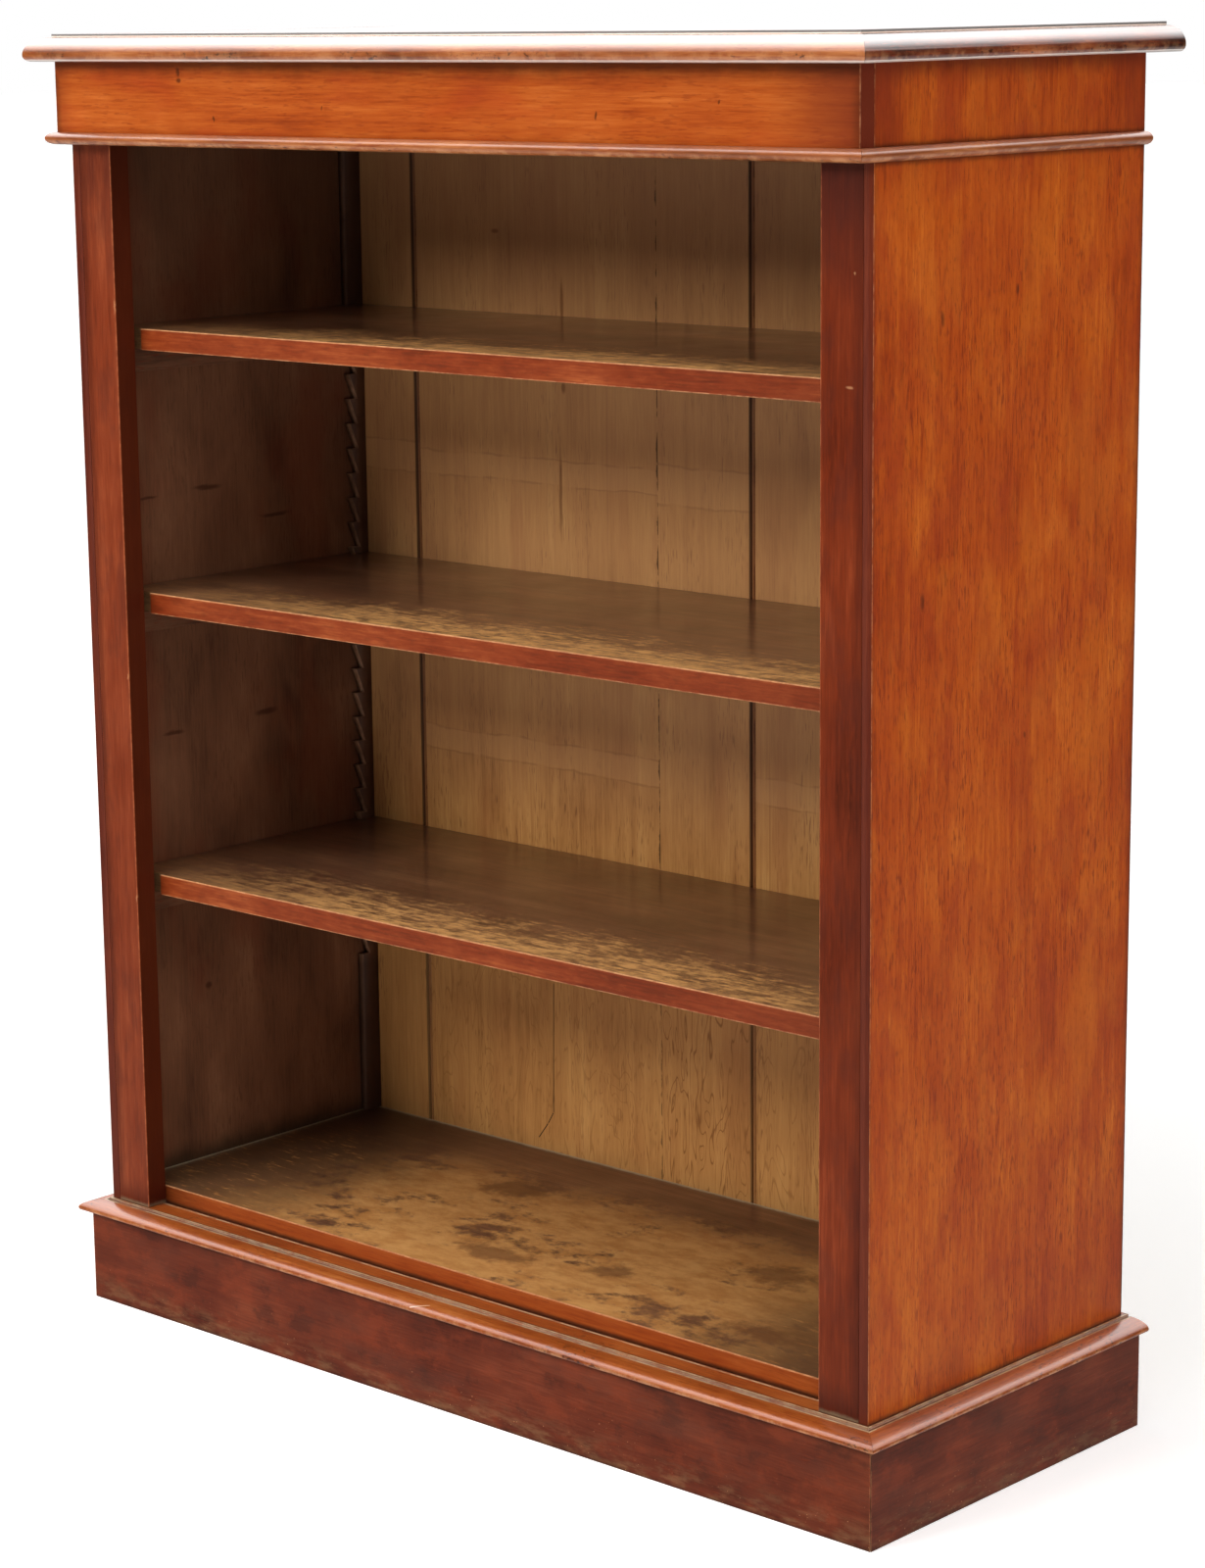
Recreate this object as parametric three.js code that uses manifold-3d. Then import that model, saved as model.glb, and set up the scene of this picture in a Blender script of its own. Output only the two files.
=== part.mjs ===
// An open bookcase with adjustable shelves. Millimetres, +Z up, the front faces -Y.
// The origin is on the floor, at the middle of the whole outline.
import * as THREE from 'three';
import { mergeVertices } from 'three/addons/utils/BufferGeometryUtils.js';
import Module from 'manifold-3d';

const manifoldLibrary = await Module();
manifoldLibrary.setup();

// ---------------------------------------------------------------- driving dimensions

const GAP = 0.3; // clearance kept between neighbouring pieces
const MITRE_RELIEF = 0.25; // taken off each half of a mitre
const ARC_STEPS = 10;

const CARCASE_WIDTH = 963;
const CARCASE_FRONT = -178; // Y of the carcase's front face
const CARCASE_BACK = 190; // Y of the carcase's back edge
const CARCASE_FOOT = 103.6; // Z where the carcase stands on the plinth
const CARCASE_HEAD = 1223; // Z of the carcase's top edge
const TOP_SURFACE = 1248;

const SIDE_THICKNESS = 10;
const PILASTER_FACE = 53.4; // width seen from the front, the side's edge included
const PILASTER_THICKNESS = 22.9;
const BOTTOM_BOARD_TOP = 122;
const CARCASE_TOP_UNDERSIDE = 1205;

const FRIEZE_THICKNESS = 17.5;
const ASTRAGAL_CENTRE = 1152;
const ASTRAGAL_HEIGHT = 11.5;
const ASTRAGAL_PROJECTION = 8.8;

const TOP_OVERHANG = 21.5; // beyond the frieze and the sides
const TOP_REAR_OVERHANG = 27;
const TOP_NOSE_RADIUS = 6;
const TOP_FILLET_HEIGHT = 2.8;
const TOP_FILLET_SETBACK = 20; // from the tip of the nose
const TOP_EDGING_WIDTH = 45; // behind the frieze face

const PLINTH_PROJECTION = 15.3; // beyond the carcase faces
const PLINTH_REAR_PROJECTION = 7;
const PLINTH_THICKNESS = 20;
const PLINTH_HEIGHT = 91;
const BASE_NOSE_OVERHANG = 10; // beyond the plinth face
const BASE_NOSE_RADIUS = 3;
const BASE_FILLET_PROJECTION = 3; // beyond the carcase faces
const BASE_FILLET_HEIGHT = 2.6;
const BASE_QUIRK_WIDTH = 1.5;
const BASE_QUIRK_DEPTH = 0.9;
const BASE_EDGING_WIDTH = 60; // under the carcase

const BACK_BOARD_THICKNESS = 8;
const BACK_REBATE = 5; // taken out of each side panel
const BACK_JOINTS = [-383.4, -63, 58.5]; // X of the joints between the back boards
const BEADED_JOINTS = [0, 2]; // the first and third boards carry a bead on their right edge
const BEAD_WIDTH = 6;
const BEAD_QUIRK_WIDTH = 1.4;
const BEAD_QUIRK_DEPTH = 2;
const TONGUE_LENGTH = 5;
const TONGUE_THICKNESS = 2.6;

const TOOTH_PITCH = 25.4;
const TOOTH_DEPTH = 10.5;
const TOOTH_COUNT = 26;
const FIRST_LEDGE = 292.6; // Z of the lowest ledge
const RACK_THICKNESS = 9;
const RACK_WIDTH = 21;

const SHELF_THICKNESS = 20.3;
const SHELF_LEDGES = { lower: 4, middle: 15, upper: 25 }; // the ledge that each shelf's bearers stand on
const SHELF_SETBACK = 7; // behind the pilasters' back faces
const SHELF_NIB = 5; // depth of the shallow step at the front corners
const SHELF_SIDE_CLEARANCE = 1.5;
const SHELF_REAR_CLEARANCE = 2;
const BEARER_HEIGHT = 24;
const BEARER_THICKNESS = 12;
const BEARER_END_CLEARANCE = 0.6;

const GLUE_BLOCK_LEG = 38;
const GLUE_BLOCK_HEIGHT = 80;

const SCREW_SHANK_RADIUS = 2.1;
const SCREW_HEAD_RADIUS = 4.6;
const SCREW_HEAD_DEPTH = 3;
const SCREW_SLOT_WIDTH = 1.1;
const SCREW_SLOT_DEPTH = 1.2;
const TOP_SCREW_LENGTH = 34;
const BASE_SCREW_LENGTH = 26;

// ---------------------------------------------------------------- derived places

const halfWidth = CARCASE_WIDTH / 2;
const sideInner = halfWidth - SIDE_THICKNESS;
const openingHalf = halfWidth - PILASTER_FACE;
const pilasterBack = CARCASE_FRONT + PILASTER_THICKNESS;
const friezeFace = CARCASE_FRONT - FRIEZE_THICKNESS;
const friezeFoot = ASTRAGAL_CENTRE - ASTRAGAL_HEIGHT / 2;
const backInner = CARCASE_BACK - BACK_BOARD_THICKNESS;
const plinthBack = CARCASE_BACK + PLINTH_REAR_PROJECTION;
const topBack = CARCASE_BACK + TOP_REAR_OVERHANG;
const rackInner = sideInner - GAP - RACK_THICKNESS;
const rearRackTips = backInner - GAP - RACK_WIDTH;
const frontRackTips = pilasterBack + GAP + RACK_WIDTH;

// ---------------------------------------------------------------- woods and metal

const wood = (color, roughness) => new THREE.MeshStandardMaterial({ color, roughness, metalness: 0 });
const sideMahogany = wood(0xa34f1c, 0.35);
const pilasterMahogany = wood(0x7a2c16, 0.35);
const friezeMahogany = wood(0xa8481a, 0.35);
const mouldingMahogany = wood(0xb4602a, 0.3);
const plinthMahogany = wood(0x67291a, 0.45);
const shelfMahogany = wood(0x5a3a22, 0.45);
const bottomMahogany = wood(0x6e4a24, 0.6);
const innerMahogany = wood(0x4a2e1a, 0.6);
const backPine = wood(0x8a6338, 0.8);
const roughPine = wood(0xa07c4c, 0.85);
const steel = new THREE.MeshStandardMaterial({ color: 0x6a645c, roughness: 0.5, metalness: 0.8 });

// ---------------------------------------------------------------- geometry helpers

const bookcase = new THREE.Group();

function addPiece(name, geometry, material) {
  const mesh = new THREE.Mesh(geometry, material);
  mesh.name = name;
  bookcase.add(mesh);
  return mesh;
}

function board(low, high) {
  const size = high.map((value, axis) => value - low[axis]);
  const middle = high.map((value, axis) => (value + low[axis]) / 2);
  return new THREE.BoxGeometry(...size).translate(...middle);
}

function polygon(points) {
  return new THREE.Shape(points.map(([x, y]) => new THREE.Vector2(x, y)));
}

// A plan outline in X and Y that stands from zLow to zHigh.
function standing(points, zLow, zHigh) {
  const depth = zHigh - zLow;
  const geometry = new THREE.ExtrudeGeometry(polygon(points), { depth, bevelEnabled: false });
  return geometry.translate(0, 0, zLow);
}

// A section in Y and Z that runs from xLow to xHigh.
function across(points, xLow, xHigh) {
  const depth = xHigh - xLow;
  const geometry = new THREE.ExtrudeGeometry(polygon(points), { depth, bevelEnabled: false });
  const turn = new THREE.Matrix4().makeBasis(
    new THREE.Vector3(0, 1, 0),
    new THREE.Vector3(0, 0, 1),
    new THREE.Vector3(1, 0, 0),
  );
  return geometry.applyMatrix4(turn).translate(xLow, 0, 0);
}

// A strip that runs along X from left.x to right.x. Its section is drawn as projection and height, and
// projection points towards -Y. A mitred end grows by a millimetre for each millimetre of projection.
function strip(section, left, right) {
  const options = { depth: 1, bevelEnabled: false, curveSegments: ARC_STEPS };
  const geometry = new THREE.ExtrudeGeometry(section, options);
  const position = geometry.attributes.position;
  for (let i = 0; i < position.count; i += 1) {
    const projection = position.getX(i);
    const height = position.getY(i);
    const atLeft = position.getZ(i) > 0.5;
    const leftX = left.x - (left.mitred ? projection - MITRE_RELIEF : 0);
    const rightX = right.x + (right.mitred ? projection - MITRE_RELIEF : 0);
    position.setXYZ(i, atLeft ? leftX : rightX, -projection, height);
  }
  return geometry;
}

// The same strip along the front and both sides of a rectangle, mitred at the two front corners.
// endY is where the side strips stop, square, at the back.
function surround(names, section, frontY, endY, materials) {
  const front = strip(section, { x: -halfWidth, mitred: true }, { x: halfWidth, mitred: true });
  addPiece(names.front, front, materials.front).position.y = frontY;

  const right = strip(section, { x: frontY, mitred: true }, { x: endY, mitred: false });
  const rightPiece = addPiece(names.right, right, materials.side);
  rightPiece.position.x = halfWidth;
  rightPiece.rotation.z = Math.PI / 2;

  const left = strip(section, { x: -endY, mitred: false }, { x: -frontY, mitred: true });
  const leftPiece = addPiece(names.left, left, materials.side);
  leftPiece.position.x = -halfWidth;
  leftPiece.rotation.z = -Math.PI / 2;
}

// ---------------------------------------------------------------- joins and cuts

function toSolid(geometry) {
  const bare = geometry.clone();
  bare.deleteAttribute('normal');
  bare.deleteAttribute('uv');
  const merged = mergeVertices(bare, 1e-4);
  return new manifoldLibrary.Manifold(new manifoldLibrary.Mesh({
    numProp: 3,
    vertProperties: Float32Array.from(merged.attributes.position.array),
    triVerts: Uint32Array.from(merged.index.array),
  }));
}

function toGeometry(solid) {
  const mesh = solid.getMesh();
  const geometry = new THREE.BufferGeometry();
  geometry.setAttribute('position', new THREE.BufferAttribute(Float32Array.from(mesh.vertProperties), 3));
  geometry.setIndex(new THREE.BufferAttribute(Uint32Array.from(mesh.triVerts), 1));
  geometry.computeVertexNormals();
  return geometry;
}

function cut(body, ...tools) {
  const solid = tools.reduce((rest, tool) => rest.subtract(toSolid(tool)), toSolid(body));
  return toGeometry(solid);
}

// ---------------------------------------------------------------- plinth

function plinth() {
  const inner = PLINTH_PROJECTION - PLINTH_THICKNESS;
  const section = polygon([
    [inner, 0],
    [PLINTH_PROJECTION, 0],
    [PLINTH_PROJECTION, PLINTH_HEIGHT],
    [inner, PLINTH_HEIGHT],
  ]);
  const names = { front: 'plinth_front', left: 'plinth_left', right: 'plinth_right' };
  surround(names, section, CARCASE_FRONT, plinthBack, { front: plinthMahogany, side: plinthMahogany });

  const insideX = halfWidth + inner - GAP;
  const rear = board(
    [-insideX, plinthBack - PLINTH_THICKNESS, 0],
    [insideX, plinthBack, PLINTH_HEIGHT],
  );
  addPiece('plinth_back', rear, roughPine);

  const frontInner = CARCASE_FRONT - inner + GAP;
  const rearInner = plinthBack - PLINTH_THICKNESS - GAP;
  const corners = [
    ['front_left', -1, frontInner, 1],
    ['front_right', 1, frontInner, 1],
    ['rear_left', -1, rearInner, -1],
    ['rear_right', 1, rearInner, -1],
  ];
  for (const [place, side, y, inward] of corners) {
    const x = side * insideX;
    const points = [
      [x, y],
      [x - side * GLUE_BLOCK_LEG, y],
      [x, y + inward * GLUE_BLOCK_LEG],
    ];
    const ordered = THREE.ShapeUtils.area(polygon(points).getPoints()) > 0 ? points : points.reverse();
    const zLow = PLINTH_HEIGHT - GLUE_BLOCK_HEIGHT;
    addPiece(`glue_block_${place}`, standing(ordered, zLow, PLINTH_HEIGHT), roughPine);
  }
}

// The thumb moulding on the plinth: a flat under the carcase, a fillet, a quirk and a long round nose.
function baseMouldingSection() {
  const nose = PLINTH_PROJECTION + BASE_NOSE_OVERHANG;
  const underside = PLINTH_HEIGHT + GAP;
  const noseCentre = underside + BASE_NOSE_RADIUS;
  const thumbStart = BASE_FILLET_PROJECTION + BASE_QUIRK_WIDTH;
  const thumbTop = CARCASE_FOOT - BASE_FILLET_HEIGHT + BASE_QUIRK_DEPTH;
  const quirkFloor = CARCASE_FOOT - BASE_FILLET_HEIGHT;

  const section = new THREE.Shape();
  section.moveTo(-BASE_EDGING_WIDTH, underside);
  section.lineTo(nose - BASE_NOSE_RADIUS, underside);
  section.absarc(nose - BASE_NOSE_RADIUS, noseCentre, BASE_NOSE_RADIUS, -Math.PI / 2, 0, false);
  section.absellipse(thumbStart, noseCentre, nose - thumbStart, thumbTop - noseCentre, 0, Math.PI / 2, false);
  section.lineTo(thumbStart, quirkFloor);
  section.lineTo(BASE_FILLET_PROJECTION, quirkFloor);
  section.lineTo(BASE_FILLET_PROJECTION, CARCASE_FOOT);
  section.lineTo(-BASE_EDGING_WIDTH, CARCASE_FOOT);
  section.closePath();
  return section;
}

const baseScrewPlaces = {
  base_screw_front_left: [-300, CARCASE_FRONT + BASE_EDGING_WIDTH / 2],
  base_screw_front_right: [300, CARCASE_FRONT + BASE_EDGING_WIDTH / 2],
  base_screw_rear_left: [-300, plinthBack - BASE_EDGING_WIDTH / 2],
  base_screw_rear_right: [300, plinthBack - BASE_EDGING_WIDTH / 2],
};

function baseMoulding() {
  const names = { front: 'base_moulding_front', left: 'base_moulding_left', right: 'base_moulding_right' };
  const materials = { front: mouldingMahogany, side: mouldingMahogany };
  surround(names, baseMouldingSection(), CARCASE_FRONT, plinthBack, materials);

  const railX = halfWidth - BASE_EDGING_WIDTH - GAP;
  const rail = board(
    [-railX, plinthBack - BASE_EDGING_WIDTH, PLINTH_HEIGHT + GAP],
    [railX, plinthBack, CARCASE_FOOT],
  );
  addPiece('base_rear_rail', rail, roughPine);
}

// ---------------------------------------------------------------- carcase

function sidePanels() {
  for (const [name, side] of [['left_side_panel', -1], ['right_side_panel', 1]]) {
    const outer = side * halfWidth;
    const inner = side * sideInner;
    const rebate = side * (sideInner + BACK_REBATE);
    const points = [
      [inner, CARCASE_FRONT],
      [outer, CARCASE_FRONT],
      [outer, CARCASE_BACK],
      [rebate, CARCASE_BACK],
      [rebate, backInner],
      [inner, backInner],
    ];
    const ordered = side > 0 ? points : points.reverse();
    addPiece(name, standing(ordered, CARCASE_FOOT + GAP, CARCASE_HEAD - GAP), sideMahogany);
  }
}

function pilasters() {
  for (const [name, side] of [['left_pilaster', -1], ['right_pilaster', 1]]) {
    const edges = [side * openingHalf, side * (sideInner - GAP)];
    const stile = board(
      [Math.min(...edges), CARCASE_FRONT, CARCASE_FOOT + GAP],
      [Math.max(...edges), pilasterBack, CARCASE_HEAD - GAP],
    );
    addPiece(name, stile, pilasterMahogany);
  }
}

const topScrewPlaces = {
  top_screw_front_left: [-380, -110],
  top_screw_front_middle: [0, -110],
  top_screw_front_right: [380, -110],
  top_screw_rear_left: [-380, 140],
  top_screw_rear_middle: [0, 140],
  top_screw_rear_right: [380, 140],
};

// The hole that clears a screw whose head is flush with the face at z. It goes up from there.
function screwHole(x, y, z, length) {
  const neck = SCREW_SHANK_RADIUS + GAP;
  const mouth = SCREW_HEAD_RADIUS + GAP;
  const profile = [
    [0, -1],
    [mouth, -1],
    [mouth, GAP],
    [neck, SCREW_HEAD_DEPTH + GAP],
    [neck, length + GAP],
    [0, length + GAP],
  ];
  const points = profile.map(([radius, height]) => new THREE.Vector2(radius, height));
  return new THREE.LatheGeometry(points, 16).rotateX(Math.PI / 2).translate(x, y, z);
}

// A slotted countersunk wood screw, its head down and its point up.
function screw(x, y, z, length) {
  const profile = [
    [0, 0],
    [SCREW_HEAD_RADIUS, 0],
    [SCREW_SHANK_RADIUS, SCREW_HEAD_DEPTH],
    [SCREW_SHANK_RADIUS, length - 2 * SCREW_SHANK_RADIUS],
    [0, length],
  ];
  const points = profile.map(([radius, height]) => new THREE.Vector2(radius, height));
  const body = new THREE.LatheGeometry(points, 16).rotateX(Math.PI / 2);
  const slot = board(
    [-2 * SCREW_HEAD_RADIUS, -SCREW_SLOT_WIDTH / 2, -1],
    [2 * SCREW_HEAD_RADIUS, SCREW_SLOT_WIDTH / 2, SCREW_SLOT_DEPTH],
  );
  return cut(body, slot).translate(x, y, z);
}

function carcaseBoards() {
  const low = [-(sideInner - GAP), pilasterBack + GAP];
  const high = [sideInner - GAP, backInner - GAP];

  const bottom = board([...low, CARCASE_FOOT + GAP], [...high, BOTTOM_BOARD_TOP]);
  const baseHoles = Object.values(baseScrewPlaces).map(
    ([x, y]) => screwHole(x, y, PLINTH_HEIGHT + GAP, BASE_SCREW_LENGTH),
  );
  addPiece('bottom_board', cut(bottom, ...baseHoles), bottomMahogany);

  const head = board([...low, CARCASE_TOP_UNDERSIDE], [...high, CARCASE_HEAD - GAP]);
  const topHoles = Object.values(topScrewPlaces).map(
    ([x, y]) => screwHole(x, y, CARCASE_TOP_UNDERSIDE, TOP_SCREW_LENGTH),
  );
  addPiece('carcase_top_board', cut(head, ...topHoles), roughPine);
}

// ---------------------------------------------------------------- back

function backSection(index, left, right) {
  const front = backInner;
  const rear = CARCASE_BACK;
  const tongueFront = (front + rear - TONGUE_THICKNESS) / 2;
  const tongueRear = tongueFront + TONGUE_THICKNESS;
  const hasTongue = index > 0;
  const hasGroove = index < BACK_JOINTS.length;
  const edge = right - (hasGroove ? GAP : 0);
  const points = [[left, front]];
  if (BEADED_JOINTS.includes(index)) {
    const radius = (BEAD_WIDTH - BEAD_QUIRK_WIDTH) / 2;
    const quirk = edge - BEAD_WIDTH;
    points.push([quirk, front], [quirk, front + BEAD_QUIRK_DEPTH]);
    const beadCentre = edge - radius;
    for (let step = 0; step <= ARC_STEPS; step += 1) {
      const angle = Math.PI * (1 - step / ARC_STEPS);
      const x = beadCentre + radius * Math.cos(angle);
      points.push([x, front + radius - radius * Math.sin(angle)]);
    }
  } else {
    points.push([edge, front]);
  }
  if (hasGroove) {
    const floor = edge - TONGUE_LENGTH - GAP;
    points.push(
      [edge, tongueFront - GAP],
      [floor, tongueFront - GAP],
      [floor, tongueRear + GAP],
      [edge, tongueRear + GAP],
    );
  }
  points.push([edge, rear], [left, rear]);
  if (hasTongue) {
    points.push(
      [left, tongueRear],
      [left - TONGUE_LENGTH, tongueRear],
      [left - TONGUE_LENGTH, tongueFront],
      [left, tongueFront],
    );
  }
  return points;
}

function backBoards() {
  const end = sideInner + BACK_REBATE - GAP;
  const edges = [-end, ...BACK_JOINTS, end];
  for (let index = 0; index + 1 < edges.length; index += 1) {
    const points = backSection(index, edges[index], edges[index + 1]);
    const geometry = standing(points, CARCASE_FOOT + GAP, CARCASE_HEAD - GAP);
    addPiece(`back_board_${index + 1}`, geometry, backPine);
  }
}

// ---------------------------------------------------------------- frieze and top

function frieze() {
  const facing = board(
    [-halfWidth, friezeFace, friezeFoot],
    [halfWidth, CARCASE_FRONT - GAP, CARCASE_HEAD - GAP],
  );
  addPiece('frieze_board', facing, friezeMahogany);

  const rail = board(
    [-(openingHalf - GAP), CARCASE_FRONT, ASTRAGAL_CENTRE + ASTRAGAL_HEIGHT],
    [openingHalf - GAP, pilasterBack, CARCASE_HEAD - GAP],
  );
  addPiece('frieze_rail', rail, roughPine);

  const section = new THREE.Shape();
  section.moveTo(GAP, friezeFoot);
  section.absellipse(
    GAP, ASTRAGAL_CENTRE, ASTRAGAL_PROJECTION - GAP, ASTRAGAL_HEIGHT / 2, -Math.PI / 2, Math.PI / 2, false,
  );
  section.closePath();
  const names = { front: 'astragal_front', left: 'astragal_left', right: 'astragal_right' };
  surround(names, section, friezeFace, CARCASE_BACK, { front: mouldingMahogany, side: mouldingMahogany });
}

function topMouldingSection() {
  const filletProjection = TOP_OVERHANG - TOP_FILLET_SETBACK;
  const noseCentre = CARCASE_HEAD + TOP_NOSE_RADIUS;
  const thumbTop = TOP_SURFACE - TOP_FILLET_HEIGHT;

  const section = new THREE.Shape();
  section.moveTo(-TOP_EDGING_WIDTH, CARCASE_HEAD);
  section.lineTo(TOP_OVERHANG - TOP_NOSE_RADIUS, CARCASE_HEAD);
  section.absarc(TOP_OVERHANG - TOP_NOSE_RADIUS, noseCentre, TOP_NOSE_RADIUS, -Math.PI / 2, 0, false);
  section.absellipse(
    filletProjection, noseCentre, TOP_FILLET_SETBACK, thumbTop - noseCentre, 0, Math.PI / 2, false,
  );
  section.lineTo(filletProjection, TOP_SURFACE);
  section.lineTo(-TOP_EDGING_WIDTH, TOP_SURFACE);
  section.closePath();
  return section;
}

function topSlab() {
  const names = { front: 'top_moulding_front', left: 'top_moulding_left', right: 'top_moulding_right' };
  surround(names, topMouldingSection(), friezeFace, topBack, { front: friezeMahogany, side: plinthMahogany });

  const insideX = halfWidth - TOP_EDGING_WIDTH - GAP;
  const slab = board(
    [-insideX, friezeFace + TOP_EDGING_WIDTH + GAP, CARCASE_HEAD],
    [insideX, topBack, TOP_SURFACE],
  );
  const holes = Object.values(topScrewPlaces).map(
    ([x, y]) => screwHole(x, y, CARCASE_TOP_UNDERSIDE, TOP_SCREW_LENGTH),
  );
  addPiece('top_board', cut(slab, ...holes), friezeMahogany);
}

// ---------------------------------------------------------------- racks, bearers and shelves

// From each ledge the tooth leans out to its tip, one pitch up, where the next ledge runs back to the root.
// The section is drawn as depth from the flat back of the rack and height.
function rackSection() {
  const root = RACK_WIDTH - TOOTH_DEPTH;
  const points = [
    [0, BOTTOM_BOARD_TOP + GAP],
    [RACK_WIDTH, BOTTOM_BOARD_TOP + GAP],
    [RACK_WIDTH, FIRST_LEDGE],
  ];
  for (let tooth = 0; tooth < TOOTH_COUNT; tooth += 1) {
    const ledge = FIRST_LEDGE + tooth * TOOTH_PITCH;
    points.push([root, ledge], [RACK_WIDTH, ledge + TOOTH_PITCH]);
  }
  points.push([RACK_WIDTH, CARCASE_TOP_UNDERSIDE - GAP], [0, CARCASE_TOP_UNDERSIDE - GAP]);
  return points;
}

function racks() {
  for (const [sideName, side] of [['left', -1], ['right', 1]]) {
    const faces = [side * rackInner, side * (sideInner - GAP)];
    const xLow = Math.min(...faces);
    const xHigh = Math.max(...faces);
    const rear = rackSection().map(([depth, z]) => [backInner - GAP - depth, z]);
    const front = rackSection().map(([depth, z]) => [pilasterBack + GAP + depth, z]);
    addPiece(`rack_rear_${sideName}`, across(rear.reverse(), xLow, xHigh), innerMahogany);
    addPiece(`rack_front_${sideName}`, across(front, xLow, xHigh), innerMahogany);
  }
}

// A bearer's ends follow the lean of the teeth that it stands between.
function bearers(shelfName, ledge) {
  const foot = FIRST_LEDGE + ledge * TOOTH_PITCH + GAP;
  const lean = TOOTH_DEPTH * BEARER_HEIGHT / TOOTH_PITCH;
  const frontRoot = frontRackTips - TOOTH_DEPTH + BEARER_END_CLEARANCE;
  const rearRoot = rearRackTips + TOOTH_DEPTH - BEARER_END_CLEARANCE;
  const section = [
    [frontRoot, foot],
    [rearRoot, foot],
    [rearRoot - lean, foot + BEARER_HEIGHT],
    [frontRoot + lean, foot + BEARER_HEIGHT],
  ];
  for (const [sideName, side] of [['left', -1], ['right', 1]]) {
    const wall = side * (sideInner - GAP);
    const faces = [wall, wall - side * BEARER_THICKNESS];
    const geometry = across(section, Math.min(...faces), Math.max(...faces));
    addPiece(`${shelfName}_bearer_${sideName}`, geometry, innerMahogany);
  }
  return foot + BEARER_HEIGHT;
}

function shelf(name, ledge) {
  const underside = bearers(name, ledge) + GAP;
  const front = pilasterBack + SHELF_SETBACK;
  const rear = backInner - SHELF_REAR_CLEARANCE;
  const tongueX = openingHalf - 1;
  const rackX = rackInner - SHELF_SIDE_CLEARANCE;
  const wallX = sideInner - SHELF_SIDE_CLEARANCE;
  const frontNotch = frontRackTips + SHELF_SIDE_CLEARANCE;
  const rearNotch = rearRackTips - SHELF_SIDE_CLEARANCE;
  const rightHalf = [
    [tongueX, front],
    [tongueX, front + SHELF_NIB],
    [rackX, front + SHELF_NIB],
    [rackX, frontNotch],
    [wallX, frontNotch],
    [wallX, rearNotch],
    [rackX, rearNotch],
    [rackX, rear],
  ];
  const leftHalf = rightHalf.map(([x, y]) => [-x, y]).reverse();
  const outline = [...rightHalf, ...leftHalf];
  addPiece(`${name}_shelf`, standing(outline, underside, underside + SHELF_THICKNESS), shelfMahogany);
}

// ---------------------------------------------------------------- screws

function screws() {
  for (const [name, [x, y]] of Object.entries(topScrewPlaces)) {
    addPiece(name, screw(x, y, CARCASE_TOP_UNDERSIDE, TOP_SCREW_LENGTH), steel);
  }
  for (const [name, [x, y]] of Object.entries(baseScrewPlaces)) {
    addPiece(name, screw(x, y, PLINTH_HEIGHT + GAP, BASE_SCREW_LENGTH), steel);
  }
}

// Four screws come up through the base frame, so its front strip and rear rail are drilled as well.
function drillBaseFrame() {
  for (const piece of bookcase.children) {
    if (piece.name !== 'base_moulding_front' && piece.name !== 'base_rear_rail') {
      continue;
    }
    const places = Object.entries(baseScrewPlaces).filter(
      ([name]) => name.includes('front') === piece.name.includes('front'),
    );
    const holes = places.map(([, [x, y]]) => screwHole(
      x, y - piece.position.y, PLINTH_HEIGHT + GAP, BASE_SCREW_LENGTH,
    ));
    piece.geometry = cut(piece.geometry, ...holes);
  }
}

// ---------------------------------------------------------------- assembly

plinth();
baseMoulding();
drillBaseFrame();
sidePanels();
pilasters();
carcaseBoards();
backBoards();
frieze();
topSlab();
racks();
for (const [name, ledge] of Object.entries(SHELF_LEDGES)) {
  shelf(name, ledge);
}
screws();

export default bookcase;
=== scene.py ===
"""Looks for the mahogany bookcase.

Procedural woods with grain, dirt and wear, painted shade, highlights and reflections, softened arrises, nails, floor,
light and camera.
"""

import math
import random

import bmesh
import bpy
from mathutils import Matrix, Vector


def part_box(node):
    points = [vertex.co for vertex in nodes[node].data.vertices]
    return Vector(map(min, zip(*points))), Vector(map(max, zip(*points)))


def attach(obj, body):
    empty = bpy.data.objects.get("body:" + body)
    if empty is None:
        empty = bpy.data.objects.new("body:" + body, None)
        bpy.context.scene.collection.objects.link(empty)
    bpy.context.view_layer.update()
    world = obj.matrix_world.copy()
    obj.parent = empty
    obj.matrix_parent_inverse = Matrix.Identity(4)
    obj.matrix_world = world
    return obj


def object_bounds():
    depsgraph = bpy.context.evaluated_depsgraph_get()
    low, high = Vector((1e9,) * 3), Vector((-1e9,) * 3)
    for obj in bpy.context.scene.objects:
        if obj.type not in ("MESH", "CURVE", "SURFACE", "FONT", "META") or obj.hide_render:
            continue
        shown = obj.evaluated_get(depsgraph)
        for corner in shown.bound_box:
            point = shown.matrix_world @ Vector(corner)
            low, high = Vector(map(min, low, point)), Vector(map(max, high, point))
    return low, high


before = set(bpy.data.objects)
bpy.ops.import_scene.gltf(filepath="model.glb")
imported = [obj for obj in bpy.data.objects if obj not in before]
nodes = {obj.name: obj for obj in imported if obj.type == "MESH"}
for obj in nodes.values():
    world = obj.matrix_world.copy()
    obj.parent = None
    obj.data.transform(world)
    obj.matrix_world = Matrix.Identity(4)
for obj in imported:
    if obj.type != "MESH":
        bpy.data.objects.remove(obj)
cad_low, cad_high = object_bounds()
MM = 0.001
AXES = "xyz"
WHITE = (1, 1, 1, 1)
NOISE_SHIFT = (7.31, 3.17, 5.53)  # how far one step of the seed moves a noise
RAGGED_GAIN = 2.4  # noise keeps near its middle, so its swing is raised


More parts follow.
